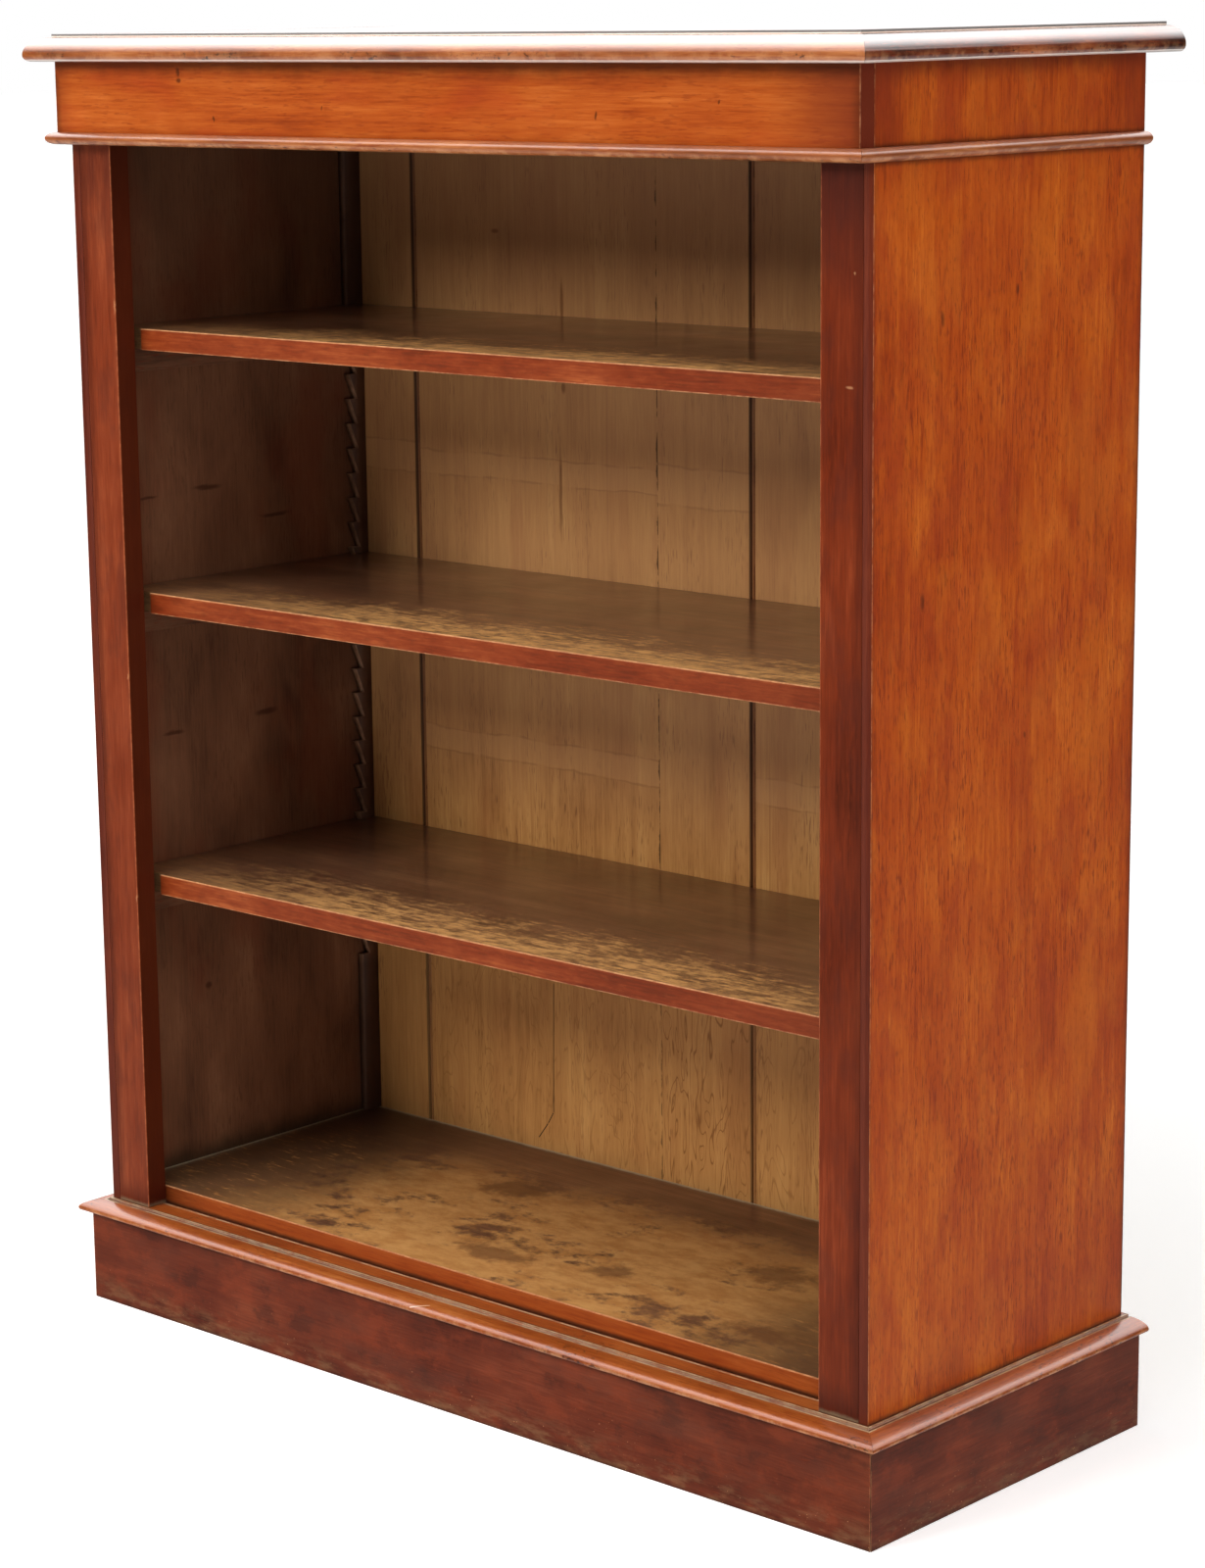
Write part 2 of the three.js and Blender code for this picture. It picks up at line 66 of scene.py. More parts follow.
def lin(red, green, blue):
    """A colour given in display values from 0 to 255, as the linear colour that a shader takes."""
    out = []
    for value in (red, green, blue):
        value /= 255
        out.append(value / 12.92 if value <= 0.04045 else ((value + 0.055) / 1.055) ** 2.4)
    return (*out, 1.0)


class Shader:
    """One material's nodes.

    Each call adds nodes and gives back an output. A value may be a number or an output.
    """

    def __init__(self, name):
        self.material = bpy.data.materials.new(name)
        self.material.use_nodes = True
        self.tree = self.material.node_tree
        self.tree.nodes.clear()
        self.place = self.new("ShaderNodeTexCoord").outputs["Object"]
        split = self.new("ShaderNodeSeparateXYZ")
        self.put(split.inputs[0], self.place)
        self.x, self.y, self.z = split.outputs  # the place, in metres
        geometry = self.new("ShaderNodeNewGeometry")
        turned = self.new("ShaderNodeSeparateXYZ")
        self.put(turned.inputs[0], geometry.outputs["True Normal"])
        self.nx, self.ny, self.nz = turned.outputs  # which way the face points

    def new(self, kind, **settings):
        node = self.tree.nodes.new(kind)
        for key, value in settings.items():
            setattr(node, key, value)
        return node

    def put(self, socket, value):
        if isinstance(value, bpy.types.NodeSocket):
            self.tree.links.new(value, socket)
        elif value is not None:
            socket.default_value = value

    def math(self, operation, a, b=None):
        node = self.new("ShaderNodeMath", operation=operation)
        self.put(node.inputs[0], a)
        self.put(node.inputs[1], b)
        return node.outputs[0]

    def chain(self, operation, terms):
        """One operation over all the terms, from the first to the last."""
        total = terms[0]
        for term in terms[1:]:
            total = self.math(operation, total, term)
        return total

    def add(self, *terms):
        return self.chain("ADD", terms)

    def mul(self, *terms):
        return self.chain("MULTIPLY", terms)

    def most(self, *terms):
        return self.chain("MAXIMUM", terms)

    def least(self, *terms):
        return self.chain("MINIMUM", terms)

    def sub(self, a, b):
        return self.math("SUBTRACT", a, b)

    def size(self, a):
        return self.math("ABSOLUTE", a)

    def flip(self, a):
        return self.sub(1.0, a)

    def step(self, value, start, end, low=0.0, high=1.0):
        """A smooth rise from low at start to high at end."""
        node = self.new("ShaderNodeMapRange", interpolation_type="SMOOTHSTEP")
        for socket, number in zip(node.inputs, (value, start, end, low, high)):
            self.put(socket, number)
        return node.outputs[0]

    def swing(self, value, amount):
        """A noise value, which is near 0.5, as an amount either side of 0."""
        return self.mul(self.sub(value, 0.5), amount)

    def noise(self, spacing, seed, detail=2.0, roughness=0.5, distortion=0.0):
        """Noise whose lumps are about spacing millimetres long, which is one number or (x, y, z)."""
        spacing = spacing if isinstance(spacing, (tuple, list)) else (spacing,) * 3
        mapping = self.new("ShaderNodeMapping")
        self.put(mapping.inputs["Vector"], self.place)
        mapping.inputs["Scale"].default_value = [1 / (length * MM) for length in spacing]
        mapping.inputs["Location"].default_value = [seed * shift for shift in NOISE_SHIFT]
        node = self.new("ShaderNodeTexNoise")
        self.put(node.inputs["Vector"], mapping.outputs[0])
        for key, value in (("Scale", 1.0), ("Detail", detail), ("Roughness", roughness), ("Distortion", distortion)):
            node.inputs[key].default_value = value
        return node.outputs[0]

    def along(self, axis, across, along, seed, **settings):
        """Noise drawn out along a grain axis, its lumps so many millimetres across and along."""
        spacing = [across] * 3
        spacing[AXES.index(axis)] = along
        return self.noise(spacing, seed, **settings)

    def mix(self, factor, a, b):
        """Colour a where factor is 0, and b where it is 1."""
        node = self.new("ShaderNodeMix", data_type="RGBA")
        colour_a, colour_b = (socket for socket in node.inputs if socket.type == "RGBA")
        self.put(node.inputs[0], factor)
        self.put(colour_a, a)
        self.put(colour_b, b)
        return next(socket for socket in node.outputs if socket.type == "RGBA")

    def lay(self, base, colour, *amounts):
        """The base with a colour over it, as strongly as the product of the amounts."""
        return self.mix(self.mul(*amounts), base, colour)

    def ramp(self, factor, stops):
        node = self.new("ShaderNodeValToRGB")
        elements = node.color_ramp.elements
        while len(elements) < len(stops):
            elements.new(0.5)
        for element, (position, colour) in zip(elements, stops):
            element.position = position
            element.color = colour
        self.put(node.inputs[0], factor)
        return node.outputs[0]

    def near(self, coordinate, at, reach):
        """1 at a plane, fading to 0 at reach from it."""
        return self.step(self.size(self.sub(coordinate, at)), reach, 0.0)

    def blot(self, u, v, at, size, wobble=0.0):
        """1 inside an oval at (u, v), size millimetres from middle to edge, fading outward, shifted by wobble."""
        du = self.math("DIVIDE", self.sub(u, at[0]), size[0] * MM)
        dv = self.math("DIVIDE", self.sub(v, at[1]), size[1] * MM)
        away = self.math("SQRT", self.add(self.mul(du, du), self.mul(dv, dv)))
        return self.step(self.add(away, wobble), 1.0, 0.35)

    def scratch(self, u, v, start, end, width):
        """1 on a straight line from start to end, in the plane of u and v."""
        du, dv = end[0] - start[0], end[1] - start[1]
        length = math.hypot(du, dv)
        du, dv = du / length, dv / length
        pu, pv = self.sub(u, start[0]), self.sub(v, start[1])
        run = self.add(self.mul(pu, du), self.mul(pv, dv))
        off = self.size(self.sub(self.mul(pv, du), self.mul(pu, dv)))
        inside = self.mul(self.step(run, 0.0, width), self.step(run, length, length - width))
        return self.mul(self.step(off, width, width * 0.3), inside)

    def finish(self, colour, roughness, height=None, depth=0.0, strength=0.0,
               coat=0.0, coat_roughness=0.12, specular=0.5, tint=None, metallic=0.0):
        """The finished material. The height's bump is depth metres deep at full strength."""
        shader = self.new("ShaderNodeBsdfPrincipled")
        output = self.new("ShaderNodeOutputMaterial")
        self.put(output.inputs[0], shader.outputs[0])
        self.put(shader.inputs["Base Color"], colour)
        self.put(shader.inputs["Roughness"], roughness)
        shader.inputs["Specular IOR Level"].default_value = specular
        self.put(shader.inputs["Coat Weight"], coat)
        shader.inputs["Coat Roughness"].default_value = coat_roughness
        shader.inputs["Metallic"].default_value = metallic
        if tint is not None:
            shader.inputs["Specular Tint"].default_value = tint
        if height is not None:
            bump = self.new("ShaderNodeBump")
            bump.inputs["Strength"].default_value = strength
            bump.inputs["Distance"].default_value = depth
            self.put(bump.inputs["Height"], height)
            self.put(shader.inputs["Normal"], bump.outputs[0])
        return self.material


# Kinds of noise
CLOUDY = {"detail": 4.0, "roughness": 0.6}
RAGGED = {"detail": 4.0, "roughness": 0.65}
PATCHY = {"detail": 4.0, "roughness": 0.7}

# Colours that several pieces share
# Dark brown for dirt, also used for painted shade
GRIME_AND_SHADE = lin(38, 16, 9)
CREAM = lin(198, 178, 142)
DUST = lin(126, 116, 92)
PALE_WEAR = lin(206, 150, 104)
FLECK = lin(112, 38, 12)
DARK_FLECK = lin(52, 22, 12)
RESIN = lin(98, 48, 22)
OCHRE = lin(196, 146, 88)

# Tints of the gloss, so that it is warm on the brown woods
SIDE_GLOSS = lin(255, 225, 200)
SHELF_GLOSS = lin(255, 210, 170)
PLINTH_GLOSS = lin(255, 200, 160)
FRONT_GLOSS = lin(255, 190, 140)


def tones(*colours, stops=(0.10, 0.40, 0.60, 0.90)):
    """A wood's ramp, from its darkest tone to its lightest, in display values."""
    return [(stop, lin(*colour)) for stop, colour in zip(stops, colours)]


SIDE_TONES = tones((116, 40, 8), (154, 60, 8), (166, 73, 10), (186, 96, 22), stops=(0.08, 0.40, 0.60, 0.92))
FRIEZE_TONES = tones((112, 40, 12), (148, 64, 18), (160, 76, 24), (182, 98, 40))
RED_TONES = tones((64, 20, 8), (92, 31, 12), (104, 38, 15), (130, 55, 26))
LEFT_TONES = tones((76, 26, 12), (107, 42, 20), (120, 51, 26), (146, 71, 39))
PLINTH_TONES = tones((50, 18, 10), (84, 32, 17), (96, 40, 22), (120, 56, 32))
MOULDING_TONES = tones((78, 38, 16), (124, 64, 28), (142, 78, 38), (170, 106, 60))
DARK_MOULDING_TONES = tones((40, 14, 8), (80, 32, 15), (108, 48, 22), (150, 80, 40))
BASE_MOULDING_TONES = tones((82, 36, 12), (130, 61, 22), (149, 76, 30), (178, 106, 52))
SHELF_EDGE_TONES = tones((74, 25, 9), (110, 40, 14), (123, 50, 20), (152, 76, 36))
SHELF_TOP_TONES = tones((60, 38, 26), (88, 58, 40), (102, 68, 47), (124, 88, 60))
INNER_TONES = tones((74, 48, 34), (104, 68, 48), (114, 76, 54), (132, 92, 66))
RACK_TONES = tones((94, 62, 42), (132, 94, 66), (148, 108, 80), (176, 140, 108))
PINE_TONES = tones((134, 84, 40), (172, 119, 65), (185, 132, 74), (208, 159, 95))
ROUGH_PINE_TONES = tones((120, 88, 58), (158, 122, 84), (176, 140, 98), (196, 162, 120))


def grain(s, axis, wood, seed, mottle=1.0, band=1.0, streak=1.0, fleck=0.5, fleck_colour=FLECK):
    """A figured wood's colour and height.

    mottle, band and streak are how far the clouds, bands and streaks move the tone, and fleck is how strongly the
    dark pores show.
    """
    cloud = s.along(axis, 60, 120, seed, detail=3.0, distortion=0.3)
    bands = s.along(axis, 8, 420, seed + 1, detail=3.0, roughness=0.6)
    streaks = s.along(axis, 1.9, 34, seed + 2, detail=3.0, roughness=0.6)
    pores = s.along(axis, 1.9, 13, seed + 3, detail=1.0)
    patches = s.along(axis, 70, 110, seed + 4)
    tone = s.add(0.5, s.swing(cloud, mottle), s.swing(bands, 0.9 * band), s.swing(streaks, streak))
    colour = s.ramp(tone, wood)
    flecks = s.mul(s.step(pores, 0.56, 0.70), s.step(patches, 0.38, 0.60, 0.35, 1.0))
    colour = s.lay(colour, fleck_colour, flecks, fleck)
    height = s.add(s.mul(streaks, 0.5), s.mul(s.flip(flecks), 0.5))
    return colour, height


def ragged(s, seed, amount=4, spacing=22):
    """A distance that wanders either side of 0 by millimetres, to break up a straight edge of dirt or wear."""
    return s.swing(s.noise(spacing, seed, **RAGGED), amount * MM * RAGGED_GAIN)


def distances(s, node):
    """The distance to each of a node's six box faces, as {"x-": output, ...}."""
    low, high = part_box(node)
    found = {}
    for i, (axis, coordinate) in enumerate(zip(AXES, (s.x, s.y, s.z))):
        found[axis + "-"] = s.sub(coordinate, low[i])
        found[axis + "+"] = s.sub(high[i], coordinate)
    return found


# Paints dirt in some calls and painted shade in others
def dirt_and_shade(s, colour, away, edges, seed, tone=GRIME_AND_SHADE):
    """Darkens towards the box faces named in edges, {"z+": (reach in millimetres, strength)}."""
    wander = ragged(s, seed)
    parts = [s.mul(s.step(s.add(away[face], wander), reach * MM, 0.0), strength)
             for face, (reach, strength) in edges.items()]
    return s.mix(s.most(*parts), colour, tone)


def arris(s, away, pairs, width, seed, least=0.35):
    """Wear along the edges where two box faces meet. Each pair names the two faces."""
    edges = [s.step(s.most(away[a], away[b]), width, width * 0.35) for a, b in pairs]
    patchy = s.step(s.noise(9, seed, **PATCHY), 0.40, 0.62, least, 1.0)
    return s.mul(s.most(*edges), patchy)


def sheen(s, base, spread, seed):
    """Roughness that varies over the surface, as rubbed polish does."""
    return s.add(base, s.swing(s.noise(60, seed, **CLOUDY), spread))


def marks(s, colour, tone, strength, u, v, spots, wobble=0.0):
    """Lays an oval of tone at each of the spots."""
    for at, size in spots:
        colour = s.lay(colour, tone, s.blot(u, v, at, size, wobble), strength)
    return colour


def paint(node, material):
    """Gives a CAD node its material in its object's slot, so that its mesh is left as it is."""
    slot = nodes[node].material_slots[0]
    slot.link = "OBJECT"
    slot.material = material


def outward(node):
    """The names of an upright's box faces at its outer side and its inner side."""
    return ("x+", "x-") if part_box(node)[1].x > 0 else ("x-", "x+")


# Marks in the places where the photo has them. An oval is its middle in metres, then its half width and half height
# in millimetres. The score and the crack are points in metres.
SIDE_SPOTS = (((-0.0887, 1.0189), (4, 9)), ((0.0113, 1.0366), (2.5, 6)),
              ((0.098, 1.150), (3, 4)), ((0.047, 0.560), (2, 5)),
              ((-0.112, 0.792), (4, 10)), ((0.030, 0.662), (2.5, 4)))
INNER_SCARS = (((-0.109, 0.803), (17, 2.5)), ((-0.030, 0.806), (24, 3)),
               ((-0.085, 0.566), (18, 3)), ((0.040, 0.570), (20, 5)),
               ((-0.050, 0.300), (6, 6)), ((0.060, 0.770), (26, 2)))
FRIEZE_KNOTS = (((-0.309, 1.2135), (3.5, 6)), ((-0.308, 1.206), (5, 3)),
                ((-0.262, 1.172), (1.2, 4)), ((-0.120, 1.183), (1.4, 3)),
                ((0.205, 1.180), (2, 5)), ((0.338, 1.192), (1.2, 2.5)))
RIGHT_NICKS = (((0.458, 0.970), (5, 1.6)), ((0.463, 1.060), (1.5, 2)))
LEFT_NICKS = (((-0.429, 0.995), (1.6, 9)), ((-0.4295, 0.640), (1.4, 4)),
              ((-0.429, 0.420), (1.2, 5)))
SCORE = ((-0.037, 0.005), (-0.017, 0.017))  # across the base moulding's nose, by x and the way round it
BOTTOM_STAINS = (((0.0885, -0.0615), (26, 26)), ((-0.035, -0.092), (60, 26)),
                 ((-0.15, 0.06), (50, 30)), ((0.21, 0.03), (60, 34)),
                 ((0.30, -0.10), (60, 20)))
BACK_SPOTS = (((-0.1849, 0.903), (4, 8)), ((-0.2741, 1.0515), (7, 3)),
              ((-0.186, 0.985), (3, 30)), ((-0.190, 0.80), (3, 60)))
CRACK = ((-0.2087, 0.300), (-0.2111, 0.163), (-0.2190, 0.150), (-0.2323, 0.1325))
# The foot and head of the marks that old shelves left on the back
SHELF_MARK_LOW = (0.522, 0.547)
SHELF_MARK_HIGH = (0.806, 0.831)
SHELF_MARK_HIGH_LEFT = (0.806, 0.836)
SHELF_MARK_HIGH_RIGHT = (0.798, 0.836)

# Heights between which the colour changes; some of these changes are painted shade and painted light
INNER_SHADE = (0.90, 1.16)  # painted shade: the sides' inner faces darken up to the top
BACK_SHADE = (0.88, 1.14)  # painted shade: so does the back
UPPER_BACK = (0.42, 0.60)  # the back is less yellow above these
PAINTED_LIGHT_LOW_BACK = (0.44, 0.36)  # painted light: the back is lighter below these
FIGURED_BACK = (0.42, 0.30)
RACK_FOOT, RACK_HEAD = (0.300, 0.280), (0.945, 0.965)  # the racks are darker beyond their teeth

# Places along X between which the shelves change
SHELF_WORN = (-0.44, -0.14)
SHELF_EDGE_DARK = (-0.1, 0.42)


def make_side(node, seed):
    """A side panel: polished outside, dark and dry inside, with a red front edge."""
    s = Shader(node + "_wood")
    away = distances(s, node)
    outer, _ = outward(node)
    colour, height = grain(s, "z", SIDE_TONES, seed, band=0.5, streak=0.9, fleck=0.75)
    red = s.step(s.along("z", 42, 90, seed + 5, **CLOUDY), 0.50, 0.64)
    colour = s.lay(colour, lin(134, 42, 14), red, 0.44)
    golden = s.step(s.along("z", 36, 110, seed + 12, **CLOUDY), 0.50, 0.66)
    colour = s.lay(colour, lin(182, 96, 20), golden, 0.30)
    ticks = s.step(s.along("z", 1.6, 7, seed + 13), 0.55, 0.72)
    colour = s.lay(colour, lin(108, 38, 10), ticks, 0.5)
    wander = s.swing(s.noise(14, seed + 6, **RAGGED), 6 * MM)
    colour = marks(s, colour, DARK_FLECK, 0.55, s.add(s.y, wander), s.z, SIDE_SPOTS)
    colour = dirt_and_shade(s, colour, away, {"y+": (9, 0.55), "y-": (5, 0.35)}, seed + 8, tone=lin(84, 28, 12))
    back_line = s.step(away["y+"], 1.8 * MM, 0.8 * MM)
    colour = s.lay(colour, GRIME_AND_SHADE, back_line, 0.75)
    foot = s.mul(s.step(s.add(away["z-"], ragged(s, seed + 10, 1.5)), 5 * MM, 0.0), 0.7)
    colour = s.mix(foot, colour, GRIME_AND_SHADE)
    band_low, band_high = (corner.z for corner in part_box("astragal_front"))
    crooked = ragged(s, seed + 14, 2, 14)
    # Dark lines along the bead's upper and lower edges: painted shade where the bead meets the side
    lines = s.most(s.step(s.size(s.add(s.sub(s.z, band_low), crooked)), 6 * MM, 0.0),
                   s.step(s.size(s.add(s.sub(s.z, band_high), crooked)), 5 * MM, 0.0))
    colour = s.lay(colour, GRIME_AND_SHADE, lines, 0.6)
    # Painted shade just below the top's overhang
    shade_under_top = s.step(s.add(away["z+"], ragged(s, seed + 11, 6, 30)), 22 * MM, 0.0)
    colour = s.lay(colour, lin(70, 24, 12), shade_under_top, 0.7)
    by_ends = s.add(s.least(away["y+"], away["y-"]), ragged(s, seed + 15, 14, 30))
    red_ends = s.mul(s.step(s.z, band_high, band_high + 6 * MM), s.step(by_ends, 60 * MM, 0.0))
    colour = s.lay(colour, lin(110, 36, 12), red_ends, 0.5)
    worn = arris(s, away, [("y-", outer)], 1.3 * MM, seed + 9, least=0.1)
    colour = s.lay(colour, PALE_WEAR, worn, 0.3)
    inner, _ = grain(s, "z", INNER_TONES, seed + 20, mottle=1.4, band=0.4, streak=0.5, fleck=0.3,
                     fleck_colour=DARK_FLECK)
    stain = s.step(s.along("z", 80, 140, seed + 25, detail=3.0), 0.48, 0.66)
    inner = s.lay(inner, lin(104, 40, 22), stain, 0.35)
    curl = s.swing(s.noise((40, 40, 10), seed + 26, **CLOUDY), 26 * MM)
    inner = marks(s, inner, lin(46, 20, 12), 0.7, s.y, s.add(s.z, s.mul(curl, 0.35)), INNER_SCARS)
    inner = s.lay(inner, lin(62, 40, 28), s.step(s.z, *INNER_SHADE), 0.45)
    # Painted shade low on the inner face, darkest at its foot
    low_inner_shade = s.step(s.add(away["z-"], ragged(s, seed + 27, 9, 40)), 44 * MM, 14 * MM)
    inner = s.lay(inner, lin(34, 28, 19), low_inner_shade, 0.85)
    inside = s.step(away[outer], 4 * MM, 6 * MM)
    colour = s.mix(inside, colour, inner)
    outer_skin = s.flip(s.step(away[outer], 0.1 * MM, 0.5 * MM))
    front = s.mul(s.step(away["y-"], 1.2 * MM, 0.6 * MM), s.step(outer_skin, 1.0, 0.4))
    edge, _ = grain(s, "z", RED_TONES, seed + 30, mottle=0.7, band=0.8, streak=0.8)
    colour = s.mix(front, colour, s.mix(0.45, edge, lin(58, 22, 18)))
    roughness = s.add(sheen(s, 0.34, 0.25, seed + 31), s.mul(inside, 0.22))
    paint(node, s.finish(colour, roughness, height, depth=0.2 * MM, strength=0.2, coat=0.05, specular=0.3,
                         tint=SIDE_GLOSS))


def make_frieze():
    """The orange board under the top, darker at its edges and its right end, with a knot."""
    node = "frieze_board"
    s = Shader("frieze_wood")
    away = distances(s, node)
    colour, height = grain(s, "x", FRIEZE_TONES, 41, mottle=0.8, band=0.7, streak=0.7, fleck=0.4)
    rusty = s.step(s.along("x", 60, 160, 47, detail=3.0), 0.50, 0.66)
    colour = s.lay(colour, lin(160, 58, 24), rusty, 0.35)
    colour = dirt_and_shade(s, colour, away, {"x-": (30, 0.35), "x+": (110, 0.65)}, 46, tone=lin(96, 36, 20))
    # Darkest under the top moulding, as painted shadow; the ends and the foot darken less
    edges = {"z+": (19, 0.7), "x-": (9, 0.45), "x+": (12, 0.4), "z-": (8, 0.35)}
    colour = dirt_and_shade(s, colour, away, edges, 48)
    wander = s.swing(s.noise(8, 49, detail=3.0), 6 * MM)
    colour = marks(s, colour, DARK_FLECK, 0.7, s.add(s.x, wander), s.z, FRIEZE_KNOTS)
    end_grain = s.step(s.least(away["x-"], away["x+"]), 0.8 * MM, 0.3 * MM)
    colour = s.lay(colour, lin(92, 30, 16), end_grain, 0.75)
    worn = arris(s, away, [("x-", "y-"), ("x+", "y-")], 1.2 * MM, 50, least=0.1)
    colour = s.lay(colour, PALE_WEAR, worn, 0.3)
    paint(node, s.finish(colour, sheen(s, 0.34, 0.25, 51), height, depth=0.25 * MM, strength=0.25, coat=0.15,
                         specular=0.3, tint=FRONT_GLOSS))


def make_pilaster(node, wood, seed, haze, nicks):
    """A front upright, darkest at its head and its foot.

    haze is how strongly its head is greyed, and nicks are the pale chips.
    """
    s = Shader(node + "_wood")
    away = distances(s, node)
    outer_side, inner_side = outward(node)
    colour, height = grain(s, "z", wood, seed, band=0.6, streak=0.7, fleck=0.4)
    hazy = s.step(s.add(away["z+"], ragged(s, seed + 5, 22, 60)), 230 * MM, 10 * MM)
    colour = s.lay(colour, lin(52, 25, 23), hazy, haze)
    bloom = s.step(s.noise((26, 26, 60), seed + 12, **CLOUDY), 0.48, 0.66)
    colour = s.lay(colour, lin(66, 30, 24), bloom, 0.30)
    colour = dirt_and_shade(s, colour, away, {outer_side: (14, 0.40), "z-": (34, 0.5)}, seed + 8, tone=lin(50, 18, 14))
    inside = s.mul(s.step(away[inner_side], 1.2 * MM, 0.4 * MM), s.step(away["y-"], 0.6 * MM, 1.6 * MM))
    colour = s.lay(colour, lin(56, 18, 9), inside, 0.8)
    dusty = s.mul(s.step(s.add(away["z-"], ragged(s, seed + 6, 2, 8)), 5 * MM, 1 * MM), 0.5)
    colour = s.mix(dusty, colour, DUST)
    worn = arris(s, away, [("y-", inner_side)], 1.3 * MM, seed + 9)
    colour = s.lay(colour, lin(190, 110, 70), worn, 0.5)
    chipped = s.swing(s.noise(4, seed + 7, **PATCHY), 7 * MM)
    for at, size in nicks:
        chip = s.mul(s.blot(s.add(s.x, chipped), s.z, at, size), s.step(away["y-"], 2.0 * MM, 1.0 * MM))
        colour = s.lay(colour, PALE_WEAR, chip, 0.35)
    paint(node, s.finish(colour, sheen(s, 0.34, 0.25, seed + 10), height, depth=0.2 * MM, strength=0.2, coat=0.12,
                         specular=0.3, tint=FRONT_GLOSS))


def make_moulding(node, wood, axis, seed, worn_below, mottle=1.0, spread=0.0):
    """A moulding rubbed pale below the fullest part of its nose, with dents full of dirt.

    The dents keep to the worn part, unless spread lets them out over the rest.
    """
    low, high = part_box(node)
    s = Shader(node + "_wood")
    away = distances(s, node)
    colour, height = grain(s, axis, wood, seed, mottle=mottle, band=0.6, streak=0.7)
    middle = (high.z - low.z) * 0.5
    under = s.step(s.add(away["z-"], ragged(s, seed + 5, 1.0, 9)), middle, middle * 0.35)
    rubbed = s.mul(under, s.step(s.noise(17, seed + 6, detail=5.0, roughness=0.75), 0.42, 0.62))
    colour = s.lay(colour, PALE_WEAR, rubbed, worn_below)
    dents = s.step(s.along(axis, 3.0, 6, seed + 7), 0.60, 0.67)
    where = s.step(s.noise(90, seed + 8, detail=3.0), 0.46, 0.60)
    pits = s.mul(dents, where, s.most(under, spread))
    colour = s.lay(colour, GRIME_AND_SHADE, pits, 0.85)
    bruises = s.mul(s.step(s.noise(12, seed + 9, **PATCHY), 0.60, 0.70), where)
    colour = s.lay(colour, GRIME_AND_SHADE, bruises, 0.45)
    # Painted shade along the moulding's lowest millimetre, under its nose
    deep = s.step(away["z-"], 1.2 * MM, 0.2 * MM)
    colour = s.lay(colour, GRIME_AND_SHADE, deep, 0.5)
    height = s.sub(height, s.mul(pits, 2.0))
    return s, away, colour, height


def polish(s, node, colour, height, seed, coat, specular, coat_roughness=0.16, flat=None):
    """Gives a moulding its polish, smoother where flat is 1."""
    roughness = sheen(s, 0.36, 0.3, seed + 12)
    if flat is not None:
        roughness = s.mul(roughness, s.flip(s.mul(flat, 0.65)))
    paint(node, s.finish(colour, roughness, height, depth=0.25 * MM, strength=0.3, coat=coat,
                         coat_roughness=coat_roughness, specular=specular))


def make_top_mouldings():
    """The top's edging, with painted light: a pale band along its underside as painted reflection, and above the nose
    a pale band as painted highlight, with a dark line above it as painted shade.
    """
    for node, wood, axis, seed, mottle, specular in (("top_moulding_front", MOULDING_TONES, "x", 61, 1.2, 0.3),
                                                     ("top_moulding_left", DARK_MOULDING_TONES, "y", 71, 2.4, 0.12),
                                                     ("top_moulding_right", DARK_MOULDING_TONES, "y", 81, 2.4, 0.12)):
        s, away, colour, height = make_moulding(node, wood, axis, seed, worn_below=0.2, mottle=mottle)
        # Painted reflection: a pale band along the underside, as the white floor would show in it
        lip_reflection = s.step(s.add(away["z-"], ragged(s, seed + 13, 0.3, 20)), 2.4 * MM, 1.6 * MM)
        colour = s.lay(colour, lin(222, 212, 204), lip_reflection, 0.7)
        upright = s.step(s.size(s.nz), 0.8, 0.5)
        # Painted highlight: the fillet above the nose is pale, as the bright sky would show in it
        fillet_highlight = s.mul(s.step(away["z+"], 3.5 * MM, 3.1 * MM), upright)
        colour = s.mix(fillet_highlight, colour, lin(228, 202, 184))
        # Painted shade: a dark line along the top of the fillet
        edge = s.mul(s.step(away["z+"], 2.1 * MM, 1.7 * MM), upright)
        colour = s.lay(colour, lin(20, 13, 14), edge, 0.95)
        flat = s.step(s.nz, 0.95, 0.99)
        coat = s.mul(s.flip(fillet_highlight), s.flip(s.mul(flat, 0.6)))
        polish(s, node, colour, height, seed, coat=coat, specular=specular, flat=flat)


def make_top_board():
    """The board inside the edging. It is smooth, and at a low angle it mirrors the white around it."""
    s = Shader("top_wood")
    colour, height = grain(s, "x", FRIEZE_TONES, 281, mottle=1.2, streak=0.8, fleck=0.4)
    rings = s.step(s.noise(90, 286, **CLOUDY), 0.50, 0.68)
    colour = s.lay(colour, lin(110, 46, 20), rings, 0.35)
    paint("top_board", s.finish(colour, sheen(s, 0.13, 0.08, 287), height, depth=0.05 * MM, strength=0.05, coat=0.4,
                                coat_roughness=0.06, specular=0.3))


def make_astragals():
    """The bead under the frieze."""
    for node, axis, seed in (("astragal_front", "x", 91), ("astragal_left", "y", 95), ("astragal_right", "y", 99)):
        s, _, colour, height = make_moulding(node, MOULDING_TONES, axis, seed, worn_below=0.4)
        polish(s, node, colour, height, seed, coat=0.45, coat_roughness=0.22, specular=0.25)


